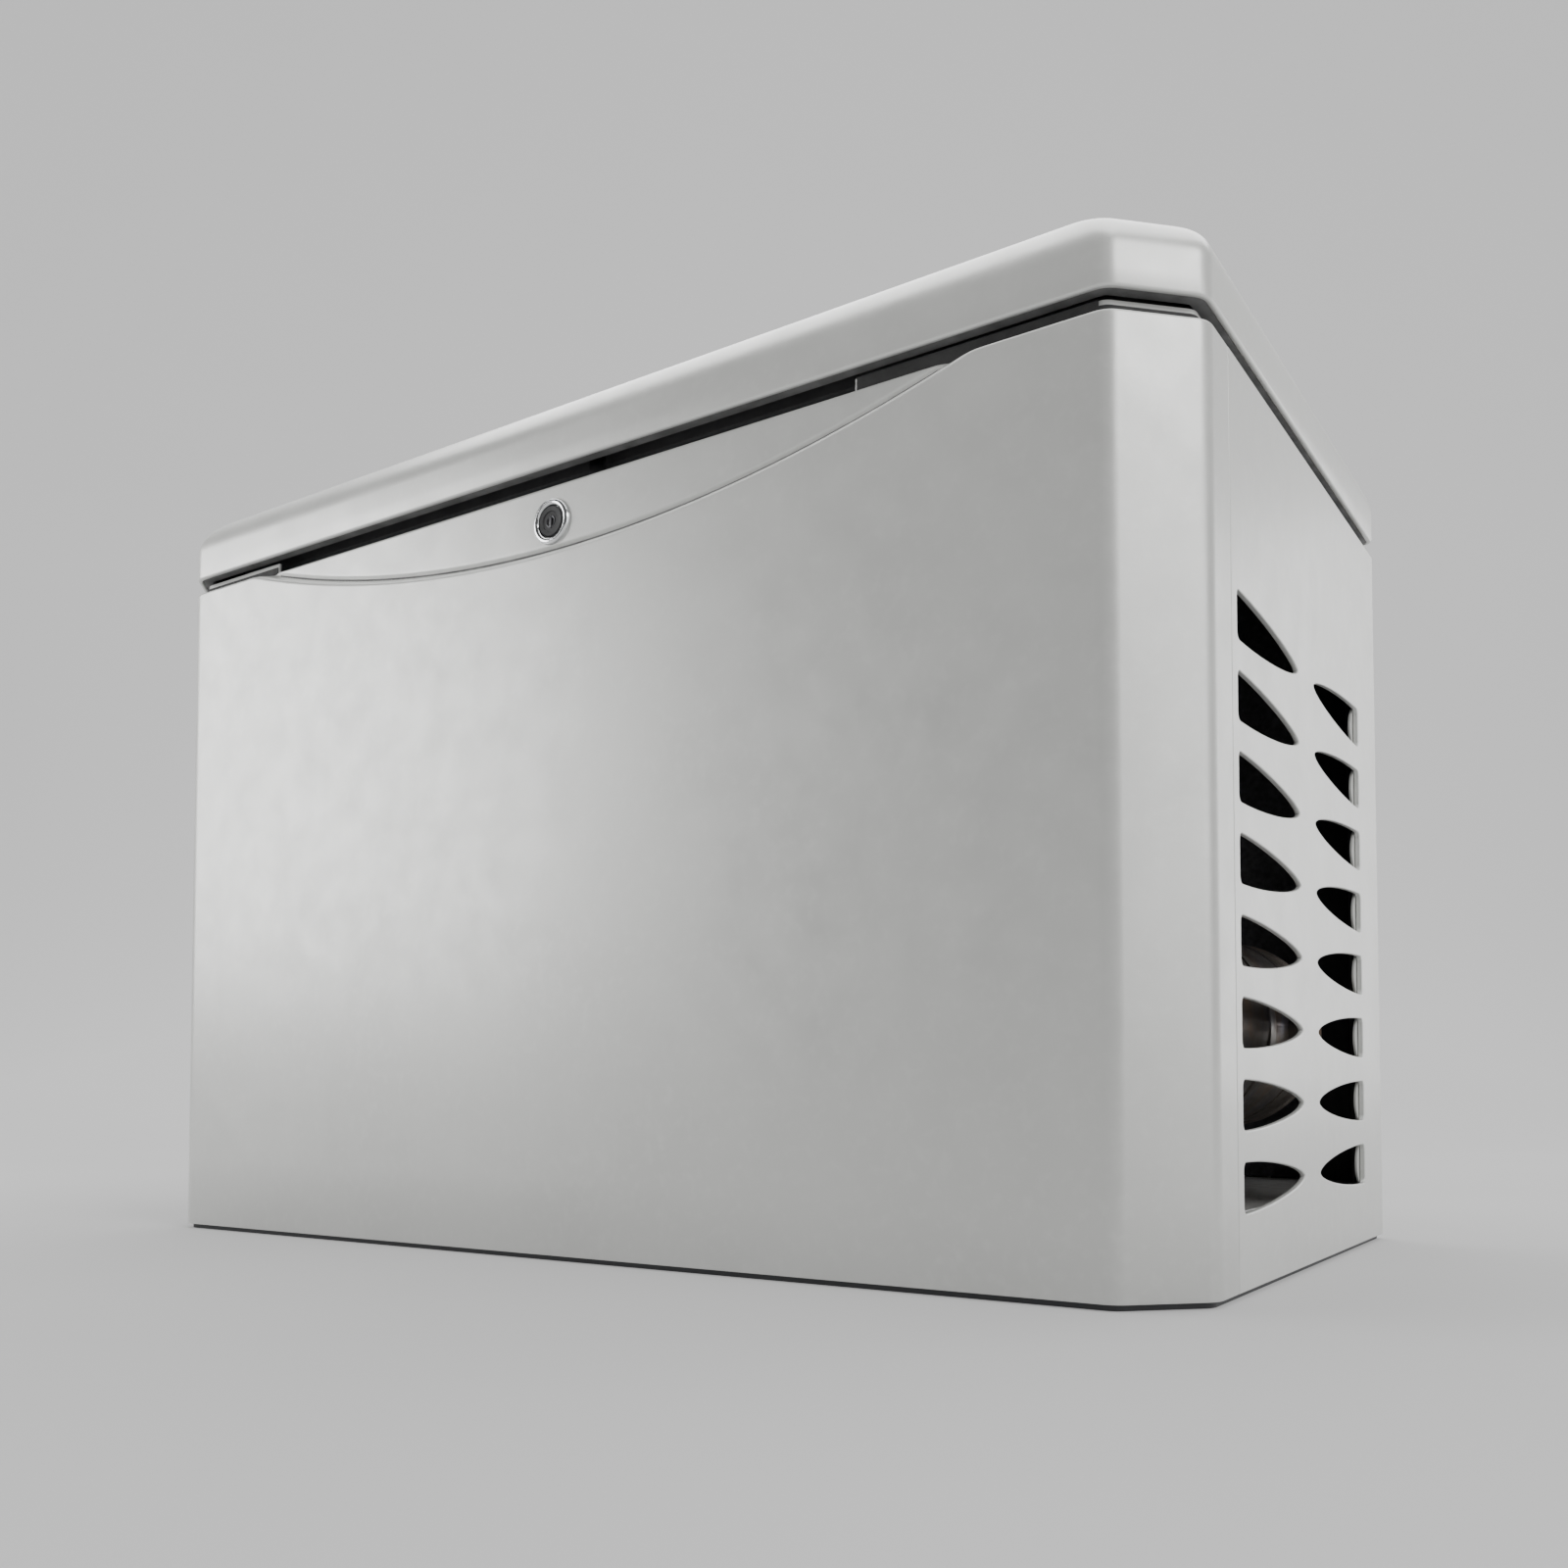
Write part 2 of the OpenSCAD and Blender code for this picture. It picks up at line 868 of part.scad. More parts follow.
module air_cleaner_cover() {
    color(dark)
    translate([front_x - 82, -95, cleaner_z + 14])
        difference() {
            round_box([240, 190, 66], 18);
            translate([4, 4, -1])
                round_box([232, 182, 63], 14);
        }
}

module intake_manifold() {
    color(alloy)
    translate([(front_x + rear_x) / 2, 0, 0]) {
        translate([0, 0, cleaner_z - 100])
            cylinder(h = 100, r = 26);
        translate([0, 0, cleaner_z - 80])
            along_y(-62, 124, 18);
        translate([-34, -34, cleaner_z - 46])
            cube([68, 68, 30]);
    }
}

module starter_motor() {
    color(dark)
    translate([0, -case_half - 38, shaft_z - 25]) {
        along_x(8, 120, 38);
        along_x(0, 8, 30);
        translate([0, -30, 30])
            along_x(20, 84, 18);
    }
}

module oil_filter() {
    color("white")
    translate([case_l - 80, 0, case_base + 16])
        along_y(-case_half - 84, 84, 36);
}

module oil_dipstick() {
    color([0.85, 0.65, 0.1])
    translate([dip_x, dip_y, dip_top + play]) {
        cylinder(h = 8, r = 10);
        translate([0, 0, -dip_travel + 15])
            cylinder(h = dip_travel, r = 2.5);
        translate([-3, 0, 16])
            rotate([0, 90, 0])
                rotate_extrude()
                    translate([11, 0])
                        circle(r = 2.5, $fn = 16);
    }
}

module gas_regulator() {
    color(alloy)
    translate([regulator_x, regulator_y, regulator_z]) {
        along_y(0, 18, 66);
        along_y(18, 22, 70);
        along_y(40, 22, 58);
        translate([0, 29, -100])
            cylinder(h = 40, r = 15);
        along_y(-24, 24, 16);
    }
}

module fuel_hoses() {
    hose_r = 12;
    inlet_y = half_d - wall - 30;
    mixer_x = (front_x + rear_x) / 2 - 34;
    color("black") {
        tube([[fuel_x, inlet_y, fuel_z], [fuel_x, inlet_y - 40, fuel_z],
              [fuel_x, regulator_y + 29, fuel_z + 60],
              [regulator_x, regulator_y + 29, regulator_z - 190],
              [regulator_x, regulator_y + 29, regulator_z - 100]], hose_r, 10);
        tube([[regulator_x, regulator_y - 24, regulator_z], [regulator_x, regulator_y - 74, regulator_z],
              [regulator_x + 30, 60, cleaner_z - 40], [mixer_x - 50, 0, cleaner_z - 31],
              [mixer_x, 0, cleaner_z - 31]], hose_r, 10);
    }
}

module fuel_inlet() {
    color([0.75, 0.6, 0.3])
    translate([fuel_x, 0, fuel_z])
        difference() {
            union() {
                along_y(half_d - wall - 30, wall + 42, fuel_r + 4);
                translate([0, half_d + 5, 0])
                    rotate([90, 0, 0])
                        cylinder(h = 5, r = 18, $fn = 6);
                translate([0, half_d - wall, 0])
                    rotate([90, 0, 0])
                        cylinder(h = 5, r = 18, $fn = 6);
            }
            along_y(half_d - 4, 17, fuel_r);
        }
}

// ---------- exhaust ----------

module exhaust_pipes() {
    color([0.5, 0.45, 0.4])
    for (s = [-1, 1]) {
        reach = (barrel_to + port_z) * sin(bank);
        port_h = shaft_z + (barrel_to + port_z) * cos(bank);
        start_x = (s < 0 ? front_x : rear_x) + port_x;
        tube([[start_x, s * reach, port_h], [start_x + 60, s * reach, port_h],
              [bulk_x - 60, s * pipe_y, pipe_z], [muffler_x - 60, s * pipe_y, pipe_z],
              [muffler_x, s * pipe_y, pipe_z], [muffler_x, s * pipe_y, collar_z]], pipe_r, 12);
    }
}

module muffler() {
    color([0.3, 0.28, 0.27])
    translate([muffler_x, 0, muffler_z]) {
        along_y(-muffler_l / 2, muffler_l, muffler_r);
        for (s = [-1, 1])
            translate([0, s * muffler_l / 2, 0])
                along_y(s < 0 ? -10 : 0, 10, muffler_r - 12);
        for (s = [-1, 1]) {
            // Foot and inlet collar
            translate([-8, s * (muffler_l / 2 - 40) - 8, -muffler_z + plenum_z + sheet])
                cube([16, 16, muffler_z - plenum_z - sheet - muffler_r + 10]);
            translate([0, s * pipe_y, muffler_r - 10])
                cylinder(h = collar_z - muffler_z - muffler_r + 10, r = pipe_r + 6);
        }
        // Tail pipe towards the end vents
        translate([0, muffler_l / 4, 0])
            along_x(muffler_r - 10, bay_l / 2 - muffler_r - wall - 14, 24);
    }
}

// ---------- alternator ----------

module stator_can() {
    color(alloy)
    translate([0, 0, shaft_z])
        difference() {
            along_x(-stator_l, stator_l, stator_r);
            along_x(-stator_l - 1, stator_l + 2, stator_r - 9);
            for (k = [0:7])
                rotate([k * 45 + 22.5, 0, 0])
                    translate([-60, -30, stator_r - 40])
                        cube([36, 60, 60]);
        }
}

module stator_core() {
    color([0.55, 0.35, 0.2])
    translate([0, 0, shaft_z])
        difference() {
            along_x(core_x, core_l, stator_r - 9);
            along_x(core_x - 1, core_l + 2, core_in);
        }
}

module alternator_rotor() {
    color([0.55, 0.35, 0.2])
    translate([0, 0, shaft_z])
        difference() {
            union() {
                along_x(core_x, core_l, rotor_r);
                along_x(core_x + core_l, 26, rotor_r - 30);
            }
            along_x(core_x - 1, core_l + 40, shaft_r);
        }
}

module end_bracket() {
    color(alloy)
    difference() {
        union() {
            translate([0, 0, shaft_z])
                along_x(-stator_l - bracket_t, bracket_t, stator_r);
            translate([-stator_l - bracket_t, -95, deck])
                cube([bracket_t, 190, shaft_z - stator_r - deck + 60]);
        }
        translate([0, 0, shaft_z]) {
            along_x(-stator_l - bracket_t - 1, bracket_t + 2, shaft_r + fit);
            for (k = [0:7])
                rotate([k * 45, 0, 0])
                    translate([-stator_l - bracket_t - 1, 0, 80])
                        rotate([0, 90, 0])
                            cylinder(h = bracket_t + 2, r = 17);
        }
    }
}

// ---------- battery ----------

module battery_case() {
    color([0.15, 0.15, 0.16])
    translate([left_x, battery_y, tray_floor]) {
        round_box([battery_l, battery_w, battery_h - 14], 6);
        translate([-2, -2, battery_h - 34])
            round_box([battery_l + 4, battery_w + 4, 20], 6);
        translate([30, 40, battery_h - 14])
            cube([battery_l - 60, battery_w - 76, 8]);
    }
}

module battery_terminals() {
    color("silver")
    for (x = [22, battery_l - 22])
        translate([left_x + x, battery_y + battery_w - 20, tray_floor + battery_h - 14])
            cylinder(h = 18, r = 9);
}

module battery_strap() {
    foot_z = tray_floor + 14;
    top_z = tray_floor + battery_h - 6;
    color("black")
    translate([left_x + battery_l / 2 - 12, 0, 0]) {
        translate([0, battery_y - 6, top_z])
            cube([24, battery_w + 12, sheet]);
        for (y = [battery_y - 6, battery_y + battery_w + 2.5])
            translate([0, y, foot_z])
                cube([24, 3.5, top_z - foot_z + 1]);
    }
}

module battery_cables() {
    top = tray_floor + battery_h + 4;
    end_y = battery_y + battery_w - 20;
    color([0.7, 0.1, 0.1])
        tube([[left_x + battery_l - 22, end_y, top], [left_x + battery_l - 22, end_y, top + 40],
              [-320, end_y - 59, top + 60], [-180, -195, top + 70], [-60, -190, top + 20],
              [0, -case_half - 68, shaft_z + 56], [62, -case_half - 68, shaft_z + 54],
              [62, -case_half - 68, shaft_z + 24]], 6);
    color("black")
        tube([[left_x + 22, end_y, top], [left_x + 22, end_y, top + 70],
              [-400, end_y - 34, top + 84], [-180, -172, top + 92], [-60, -175, top + 60],
              [-8, -150, shaft_z + 52], [10, -case_half - 6, shaft_z + 60]], 6);
}

// ---------- controls ----------

// Side profile of the control box, inset by t
function box_profile(t) =
    let (turn = t * tan(face_tilt / 2),
         knee = [box_front + t, knee_z - t * sin(face_tilt) + turn * cos(face_tilt)],
         run = (box_top - t - knee[1]) * tan(face_tilt))
    [[stand_y - t, box_z + t], [stand_y - t, box_top - t], [knee[0] + run, box_top - t],
     knee, [box_front + t, box_z + t]];

// Places children on the leaning control face, -Y outwards
module on_face() {
    translate([face_x, box_front, knee_z])
        rotate([-face_tilt, 0, 0])
            children();
}

module face_holes(extra, deep) {
    for (i = [-1:1])
        translate([i * button_pitch - 22, 0, button_v])
            along_y(-20, deep, button_r + extra);
    translate([-22 - display_w / 2, -20, display_v - display_h / 2])
        cube([display_w, deep, display_h]);
    translate([rocker_x - rocker_w / 2 - 1, -20, display_v - rocker_h / 2 - 1.5])
        cube([rocker_w + 2, deep, rocker_h + 3]);
}

module control_box() {
    color(dark)
    difference() {
        union() {
            translate([left_x, 0, 0])
                rotate([90, 0, 90])
                    linear_extrude(box_w)
                        polygon(box_profile(0));
            // Stand behind the battery
            translate([left_x, stand_y - sheet, tray_floor])
                cube([box_w, sheet, box_z - tray_floor + 1]);
        }
        translate([left_x + box_t, 0, 0])
            rotate([90, 0, 90])
                linear_extrude(box_w - 2 * box_t)
                    polygon(box_profile(box_t));
        on_face()
            face_holes(1, 24);
    }
}

module control_face() {
    color([0.3, 0.31, 0.33])
    on_face()
        difference() {
            translate([-box_w / 2 + 6, -plate_t, 6])
                cube([box_w - 12, plate_t, (box_top - knee_z) / cos(face_tilt) - 12]);
            face_holes(1, 30);
        }
}

module display_window() {
    color([0.3, 0.45, 0.4, 0.6])
    on_face()
        translate([-22 - display_w / 2, -plate_t + 0.5, display_v - display_h / 2])
            cube([display_w, plate_t + 1, display_h]);
}

module circuit_board() {
    color("darkgreen")
    on_face() {
        translate([-box_w / 2 + 12, 14, 14])
            cube([box_w - 24, 2, (box_top - knee_z) / cos(face_tilt) - 34]);
        for (i = [0:3])
            translate([-70 + i * 38, 16, 60])
                cube([22, 5, 22]);
    }
}

// Round push button; slot says which of the three places
module push_button(place) {
    on_face()
        translate([place * button_pitch - 22, 0, button_v]) {
            along_y(-plate_t - 3, plate_t + 7, button_r);
            along_y(4, 14 - button_travel - 4 - play, 3);
        }
}

module off_button() {
    color([0.7, 0.1, 0.1])
        push_button(-1);
}

module auto_button() {
    color([0.1, 0.5, 0.2])
        push_button(0);
}

module run_button() {
    color([0.8, 0.8, 0.8])
        push_button(1);
}

// Rocking menu key, pivoting on an axle through its middle
module menu_rocker() {
    color([0.75, 0.75, 0.76])
    on_face()
        translate([rocker_x, -plate_t, display_v]) {
            translate([-rocker_w / 2, -4, -rocker_h / 2])
                cube([rocker_w, 8, rocker_h]);
            along_x(-rocker_w / 2, rocker_w, 4);
        }
}

module breaker_body() {
    color("black")
    translate([face_x, box_front, breaker_z])
        difference() {
            translate([-breaker_w / 2, -breaker_d, -breaker_h / 2])
                cube([breaker_w, breaker_d, breaker_h]);
            translate([-8, -breaker_d - 1, -18])
                cube([16, 15, 36]);
        }
}

module breaker_toggle() {
    color([0.2, 0.2, 0.22])
    translate([face_x, toggle_y, breaker_z])
        rotate([-20, 0, 0]) {
            along_x(-7, 14, 7);
            translate([-6, -24, -4])
                cube([12, 24, 8]);
        }
}

module conduit_bushing() {
    color("black")
    translate([conduit_x, 0, conduit_z])
        difference() {
            union() {
                along_y(half_d, 5, conduit_r + 10);
                along_y(half_d - wall - 9, wall + 9, conduit_r + 4);
                along_y(half_d - wall - 9, 9, conduit_r + 9);
            }
            along_y(half_d - wall - 10, wall + 20, conduit_r);
        }
}

base_tray();
corner_posts();
gutter_rim();
lid_gasket();
right_end_panel();
left_end_panel();
rear_panel();
muffler_bulkhead();
frame_hinge_leaves();
hinge_pins();
rubber_isolators();
crankcase();
cylinder_barrels();
cylinder_heads();
rocker_covers();
blower_housing();
air_cleaner_base();
filter_element();
air_cleaner_cover();
intake_manifold();
gas_regulator();
fuel_hoses();
fuel_inlet();
starter_motor();
oil_filter();
spark_plugs();
exhaust_pipes();
muffler();
stator_can();
stator_core();
end_bracket();
battery_case();
battery_terminals();
battery_strap();
battery_cables();
control_box();
control_face();
display_window();
circuit_board();
breaker_body();
conduit_bushing();
panel_screws();
roof();
roof_lining();
roof_hinge_leaves();
lock_striker();
front_panel();
front_lining();
lock_ring();
lock_plug();
crankshaft();
flywheel_fan();
alternator_rotor();
oil_dipstick();
oil_fill_cap();
breaker_toggle();
off_button();
auto_button();
run_button();
menu_rocker();
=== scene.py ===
import math

import bmesh
import bpy
from mathutils import Matrix, Vector


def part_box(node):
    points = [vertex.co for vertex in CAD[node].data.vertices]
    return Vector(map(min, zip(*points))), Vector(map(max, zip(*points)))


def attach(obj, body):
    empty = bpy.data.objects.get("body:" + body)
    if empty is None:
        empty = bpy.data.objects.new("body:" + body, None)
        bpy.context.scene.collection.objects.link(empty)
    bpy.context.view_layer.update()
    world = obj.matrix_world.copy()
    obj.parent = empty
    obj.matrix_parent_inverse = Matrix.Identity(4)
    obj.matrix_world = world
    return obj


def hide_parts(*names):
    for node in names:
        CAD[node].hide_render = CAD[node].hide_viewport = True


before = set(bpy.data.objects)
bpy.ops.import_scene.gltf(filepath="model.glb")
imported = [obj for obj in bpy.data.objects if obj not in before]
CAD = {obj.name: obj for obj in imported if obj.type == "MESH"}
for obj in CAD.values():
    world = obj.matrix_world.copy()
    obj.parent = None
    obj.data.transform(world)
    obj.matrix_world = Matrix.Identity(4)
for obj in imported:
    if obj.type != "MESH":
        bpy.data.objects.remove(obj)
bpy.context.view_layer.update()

# ---------- sizes, in metres, from the frame ----------

FRONT_LOW, FRONT_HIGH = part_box("front_panel")
LID_LOW, LID_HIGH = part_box("roof")
RIGHT_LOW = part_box("right_end_panel")[0]
HALF_L = FRONT_HIGH.x
HALF_D = -FRONT_LOW.y
PANEL_TOP = FRONT_HIGH.z
FOOT = FRONT_LOW.z
SEAM_Y = FRONT_HIGH.y
LID_Z = LID_LOW.z
LID_TOP = LID_HIGH.z
WALL = 0.005
CORNER = 0.058
BEND = 0.024
REAR = 0.010
WRAP = HALF_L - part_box("rear_panel")[1].x
GRIP_LEFT, GRIP_RIGHT = -0.415, 0.330

SCOOP_HALF = 0.449
SCOOP_H = 0.069
SCOOP_DEEP = 0.006
SCOOP_BLEND = 0.008
SCOOP_GROOVE = 0.0035
SCOOP_GROOVE_WIDTH = 0.0022
SCOOP_R = (SCOOP_HALF ** 2 + SCOOP_H ** 2) / (2 * SCOOP_H)
SCOOP_Z = PANEL_TOP - SCOOP_H + SCOOP_R

VENT_ROWS = 8
VENT_PITCH = 0.0634
VENT_BASE = 0.083
VENT_H = 0.039
VENT_LEN = 0.186
VENT_SPLIT = 0.056
VENT_MID = 0.335

SHAFT_Z = 0.235
FACE_X = -HALF_L + 0.154
FACE_SKIN = -0.0029
KEY_ROW = 0.034
HINGE_X, HINGE_SCREW_Y = 0.380, 0.3230
MUFFLER_X, MUFFLER_Z = 0.481, 0.215


# ---------- mesh tools ----------

def tidy_normals(bm, angle):
    """Outward faces, smooth except across edges sharper than angle degrees."""
    bmesh.ops.recalc_face_normals(bm, faces=bm.faces)
    limit = math.radians(angle)
    for face in bm.faces:
        face.smooth = True
    for edge in bm.edges:
        edge.smooth = len(edge.link_faces) == 2 and edge.calc_face_angle(0.0) < limit


def place(mesh, name, material, body, replaces=()):
    """Makes an object of a mesh with its material and ties it to its body and replaced nodes."""
    obj = bpy.data.objects.new(name, mesh)
    bpy.context.scene.collection.objects.link(obj)
    mesh.materials.clear()
    mesh.materials.append(material)
    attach(obj, body)
    if replaces:
        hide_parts(*replaces)
    return obj


class Build:
    """Collects closed pieces of mesh, in metres, and makes one object of them."""

    def __init__(self):
        self.verts = []
        self.faces = []

    def loft(self, rings, closed=False):
        """Joins rings of points, with caps at both ends or closed into a loop."""
        base, size, count = len(self.verts), len(rings[0]), len(rings)
        for ring in rings:
            self.verts.extend(tuple(p) for p in ring)
        for i in range(count if closed else count - 1):
            a, b = base + i * size, base + (i + 1) % count * size
            for k in range(size):
                m = (k + 1) % size
                self.faces.append((a + k, a + m, b + m, b + k))
        if not closed:
            self.faces.append(tuple(base + k for k in reversed(range(size))))
            self.faces.append(tuple(base + (count - 1) * size + k for k in range(size)))
        return self

    def lathe(self, profile, origin, axis=(0, 0, 1), steps=48, closed=False):
        """profile lists (radius, height) along axis from origin."""
        turn = Vector((0, 0, 1)).rotation_difference(Vector(axis)).to_matrix()
        spin = [2 * math.pi * k / steps for k in range(steps)]
        rings = [[Vector(origin) + turn @ Vector((r * math.cos(a), r * math.sin(a), h))
                  for a in spin] for r, h in profile]
        return self.loft(rings, closed)

    def block(self, low, high, edge=0.001, steps=3, turn=None):
        """Box with rounded edges; turn is a matrix applied last."""
        low, high = Vector(low), Vector(high)
        turn = turn or Matrix.Identity(4)
        rings = []
        levels = [(edge * (1 - math.sin(a)), low.z + edge * (1 - math.cos(a)))
                  for a in quarter(steps)]
        levels += [(inset, low.z + high.z - z) for inset, z in reversed(levels)]
        for inset, z in levels:
            outline = round_rect(low.x + inset, low.y + inset, high.x - inset, high.y - inset,
                                 max(edge - inset, edge * 0.15), steps)
            rings.append([turn @ Vector((x, y, z)) for x, y in outline])
        return self.loft(rings)

    def tube(self, points, radius, sides=12, spacing=0.006):
        """Round hose or lead along a smooth curve through points."""
        path = spline_path([Vector(p) for p in points], spacing)
        rings = []
        across = None
        for i, p in enumerate(path):
            ahead = (path[min(i + 1, len(path) - 1)] - path[max(i - 1, 0)]).normalized()
            if across is None:
                across = ahead.orthogonal().normalized()
            across = (across - ahead * across.dot(ahead)).normalized()
            up = ahead.cross(across)
            rings.append([p + radius * (math.cos(a) * across + math.sin(a) * up)
                          for a in (2 * math.pi * k / sides for k in range(sides))])
        return self.loft(rings)

    def screw(self, at, axis, radius, head="hex"):
        """Washer and screw head standing on the surface at point at."""
        washer = radius * 0.28
        tall = radius * 1.15
        self.lathe([(radius * 1.55, 0), (radius * 1.6, washer * 0.3), (radius * 1.5, washer)],
                   at, axis, 20)
        base = Vector(at) + Vector(axis).normalized() * washer
        if head == "hex":
            self.lathe([(radius * 1.08, 0), (radius * 1.08, tall * 0.8), (radius * 0.92, tall)],
                       base, axis, 6)
        else:
            self.lathe([(radius * 1.05, 0), (radius, tall * 0.35), (radius * 0.6, tall * 0.62),
                        (radius * 0.45, tall * 0.62), (radius * 0.4, tall * 0.3)], base, axis, 18)
        return self

    def make(self, name, material, body, slot, replaces=(), angle=38):
        mesh = bpy.data.meshes.new(name)
        mesh.from_pydata(self.verts, [], self.faces)
        bm = bmesh.new()
        bm.from_mesh(mesh)
        tidy_normals(bm, angle)
        bm.to_mesh(mesh)
        bm.free()
        return place(mesh, name, material, body, replaces)


def quarter(steps):
    """Angles from 0 to 90 degrees, in radians."""
    return [math.pi / 2 * k / steps for k in range(steps + 1)]


def round_rect(x0, y0, x1, y1, r, steps=4):
    """Rectangle outline with corners of radius r, counter-clockwise."""
    points = []
    for cx, cy, start in ((x1 - r, y0 + r, -90), (x1 - r, y1 - r, 0),
                          (x0 + r, y1 - r, 90), (x0 + r, y0 + r, 180)):
        for a in quarter(steps):
            a += math.radians(start)
            points.append((cx + r * math.cos(a), cy + r * math.sin(a)))
    return points


def spline_path(points, spacing):
    """Points on a smooth curve through the given ones, about spacing apart."""
    path = []
    for i in range(len(points) - 1):
        p0, p1 = points[max(i - 1, 0)], points[i]
        p2, p3 = points[i + 1], points[min(i + 2, len(points) - 1)]
        steps = max(2, round((p2 - p1).length / spacing))
        for k in range(steps):
            t = k / steps
            path.append(0.5 * (2 * p1 + (p2 - p0) * t + (2 * p0 - 5 * p1 + 4 * p2 - p3) * t ** 2
                               + (3 * p1 - p0 - 3 * p2 + p3) * t ** 3))
    return path + [points[-1]]


# ---------- plan outline of the enclosure ----------

def facing(degrees):
    """Unit vector in plan at an angle from +X."""
    return Vector((math.cos(math.radians(degrees)), math.sin(math.radians(degrees))))


RIGHT, BACK, LEFT, FRONT = facing(0), facing(90), facing(180), facing(270)
BENDS = [(-45, 0), (0, 90), (90, 180), (180, 225), (225, 270), (270, 315)]


def plan_arc(index, inset=0.0, cut=0.0, steps=8):
    """Points and outward normals around one bend of the plan outline, counter-clockwise.
    cut deepens the chamfers and softens every bend."""
    a, b = HALF_L - inset, HALF_D - inset
    c = max(CORNER - inset * (2 - math.sqrt(2)), 0.020) + cut
    corner = Vector([(a, c - b), (a, b), (-a, b), (-a, c - b), (c - a, -b), (a - c, -b)][index])
    start, end = BENDS[index]
    if end - start == 90:
        r = max(REAR - inset, 0.001) + cut * 1.5
    else:
        r = min(max(BEND - inset, 0.004) + cut * 4.0, c * 1.7)
    n1, n2 = facing(start), facing(end)
    centre = corner - (n1 + n2) * r / (1 + n1.dot(n2))
    normals = [facing(start + (end - start) * k / steps) for k in range(steps + 1)]
    return [(centre + n * r, n) for n in normals]


def plan_ring(inset, z, cut=0.0, steps=8):
    """The whole plan outline at height z, inset from the panel faces."""
    return [Vector((p.x, p.y, z)) for i in range(6) for p, _ in plan_arc(i, inset, cut, steps)]


def along(path):
    """Adds to a list of (point, normal) the distance along it."""
    out, total = [], 0.0
    for i, (p, n) in enumerate(path):
        if i:
            total += (p - path[i - 1][0]).length
        out.append((total, p, n))
    return out


def at_distance(path, s):
    """Point and normal at distance s, with the ends carried straight on."""
    for (s0, p0, n0), (s1, p1, n1) in zip(path, path[1:]):
        if s <= s1 or s1 == path[-1][0]:
            t = (s - s0) / (s1 - s0)
            return p0.lerp(p1, t), n0.lerp(n1, min(max(t, 0), 1)).normalized()


def bent_sheet(name, outline, holes, path, material, body, replaces, flip=False,
               edge=0.0012, thick=WALL):
    """A plate with rounded edges and holes, drawn flat and then bent along the plan outline."""
    curve = bpy.data.curves.new(name, "CURVE")
    curve.dimensions = "2D"
    curve.fill_mode = "BOTH"
    curve.extrude = thick / 2 - edge
    curve.bevel_depth = edge
    curve.bevel_resolution = 2
    curve.offset = -edge
    for loop in [outline] + holes:
        spline = curve.splines.new("POLY")
        spline.points.add(len(loop) - 1)
        for point, (u, z) in zip(spline.points, loop):
            point.co = (u, z, 0, 1)
        spline.use_cyclic_u = True
    drawn = bpy.data.objects.new(name + "_outline", curve)
    bpy.context.scene.collection.objects.link(drawn)
    bpy.context.view_layer.update()
    mesh = bpy.data.meshes.new_from_object(drawn.evaluated_get(
        bpy.context.evaluated_depsgraph_get()))
    bpy.data.objects.remove(drawn)
    bm = bmesh.new()
    bm.from_mesh(mesh)
    bmesh.ops.remove_doubles(bm, verts=bm.verts, dist=1e-6)
    for s, _, _ in path[1:-1]:
        bmesh.ops.bisect_plane(bm, geom=bm.verts[:] + bm.edges[:] + bm.faces[:], dist=1e-7,
                               plane_co=(s, 0, 0), plane_no=(1, 0, 0))
    for v in bm.verts:
        point, normal = at_distance(path, v.co.x)
        point = point + normal * (v.co.z - thick / 2)
        v.co = Vector((-point.x if flip else point.x, point.y, v.co.y))
    tidy_normals(bm, 35)
    bm.to_mesh(mesh)
    bm.free()
    mesh.name = name
    obj = place(mesh, name, material, body, replaces)
    # Large flats lead the shading, so the slots leave no ridges between them.
    even = obj.modifiers.new("even_flats", "WEIGHTED_NORMAL")
    even.keep_sharp = True
    even.weight = 100
    return obj


# ---------- materials ----------

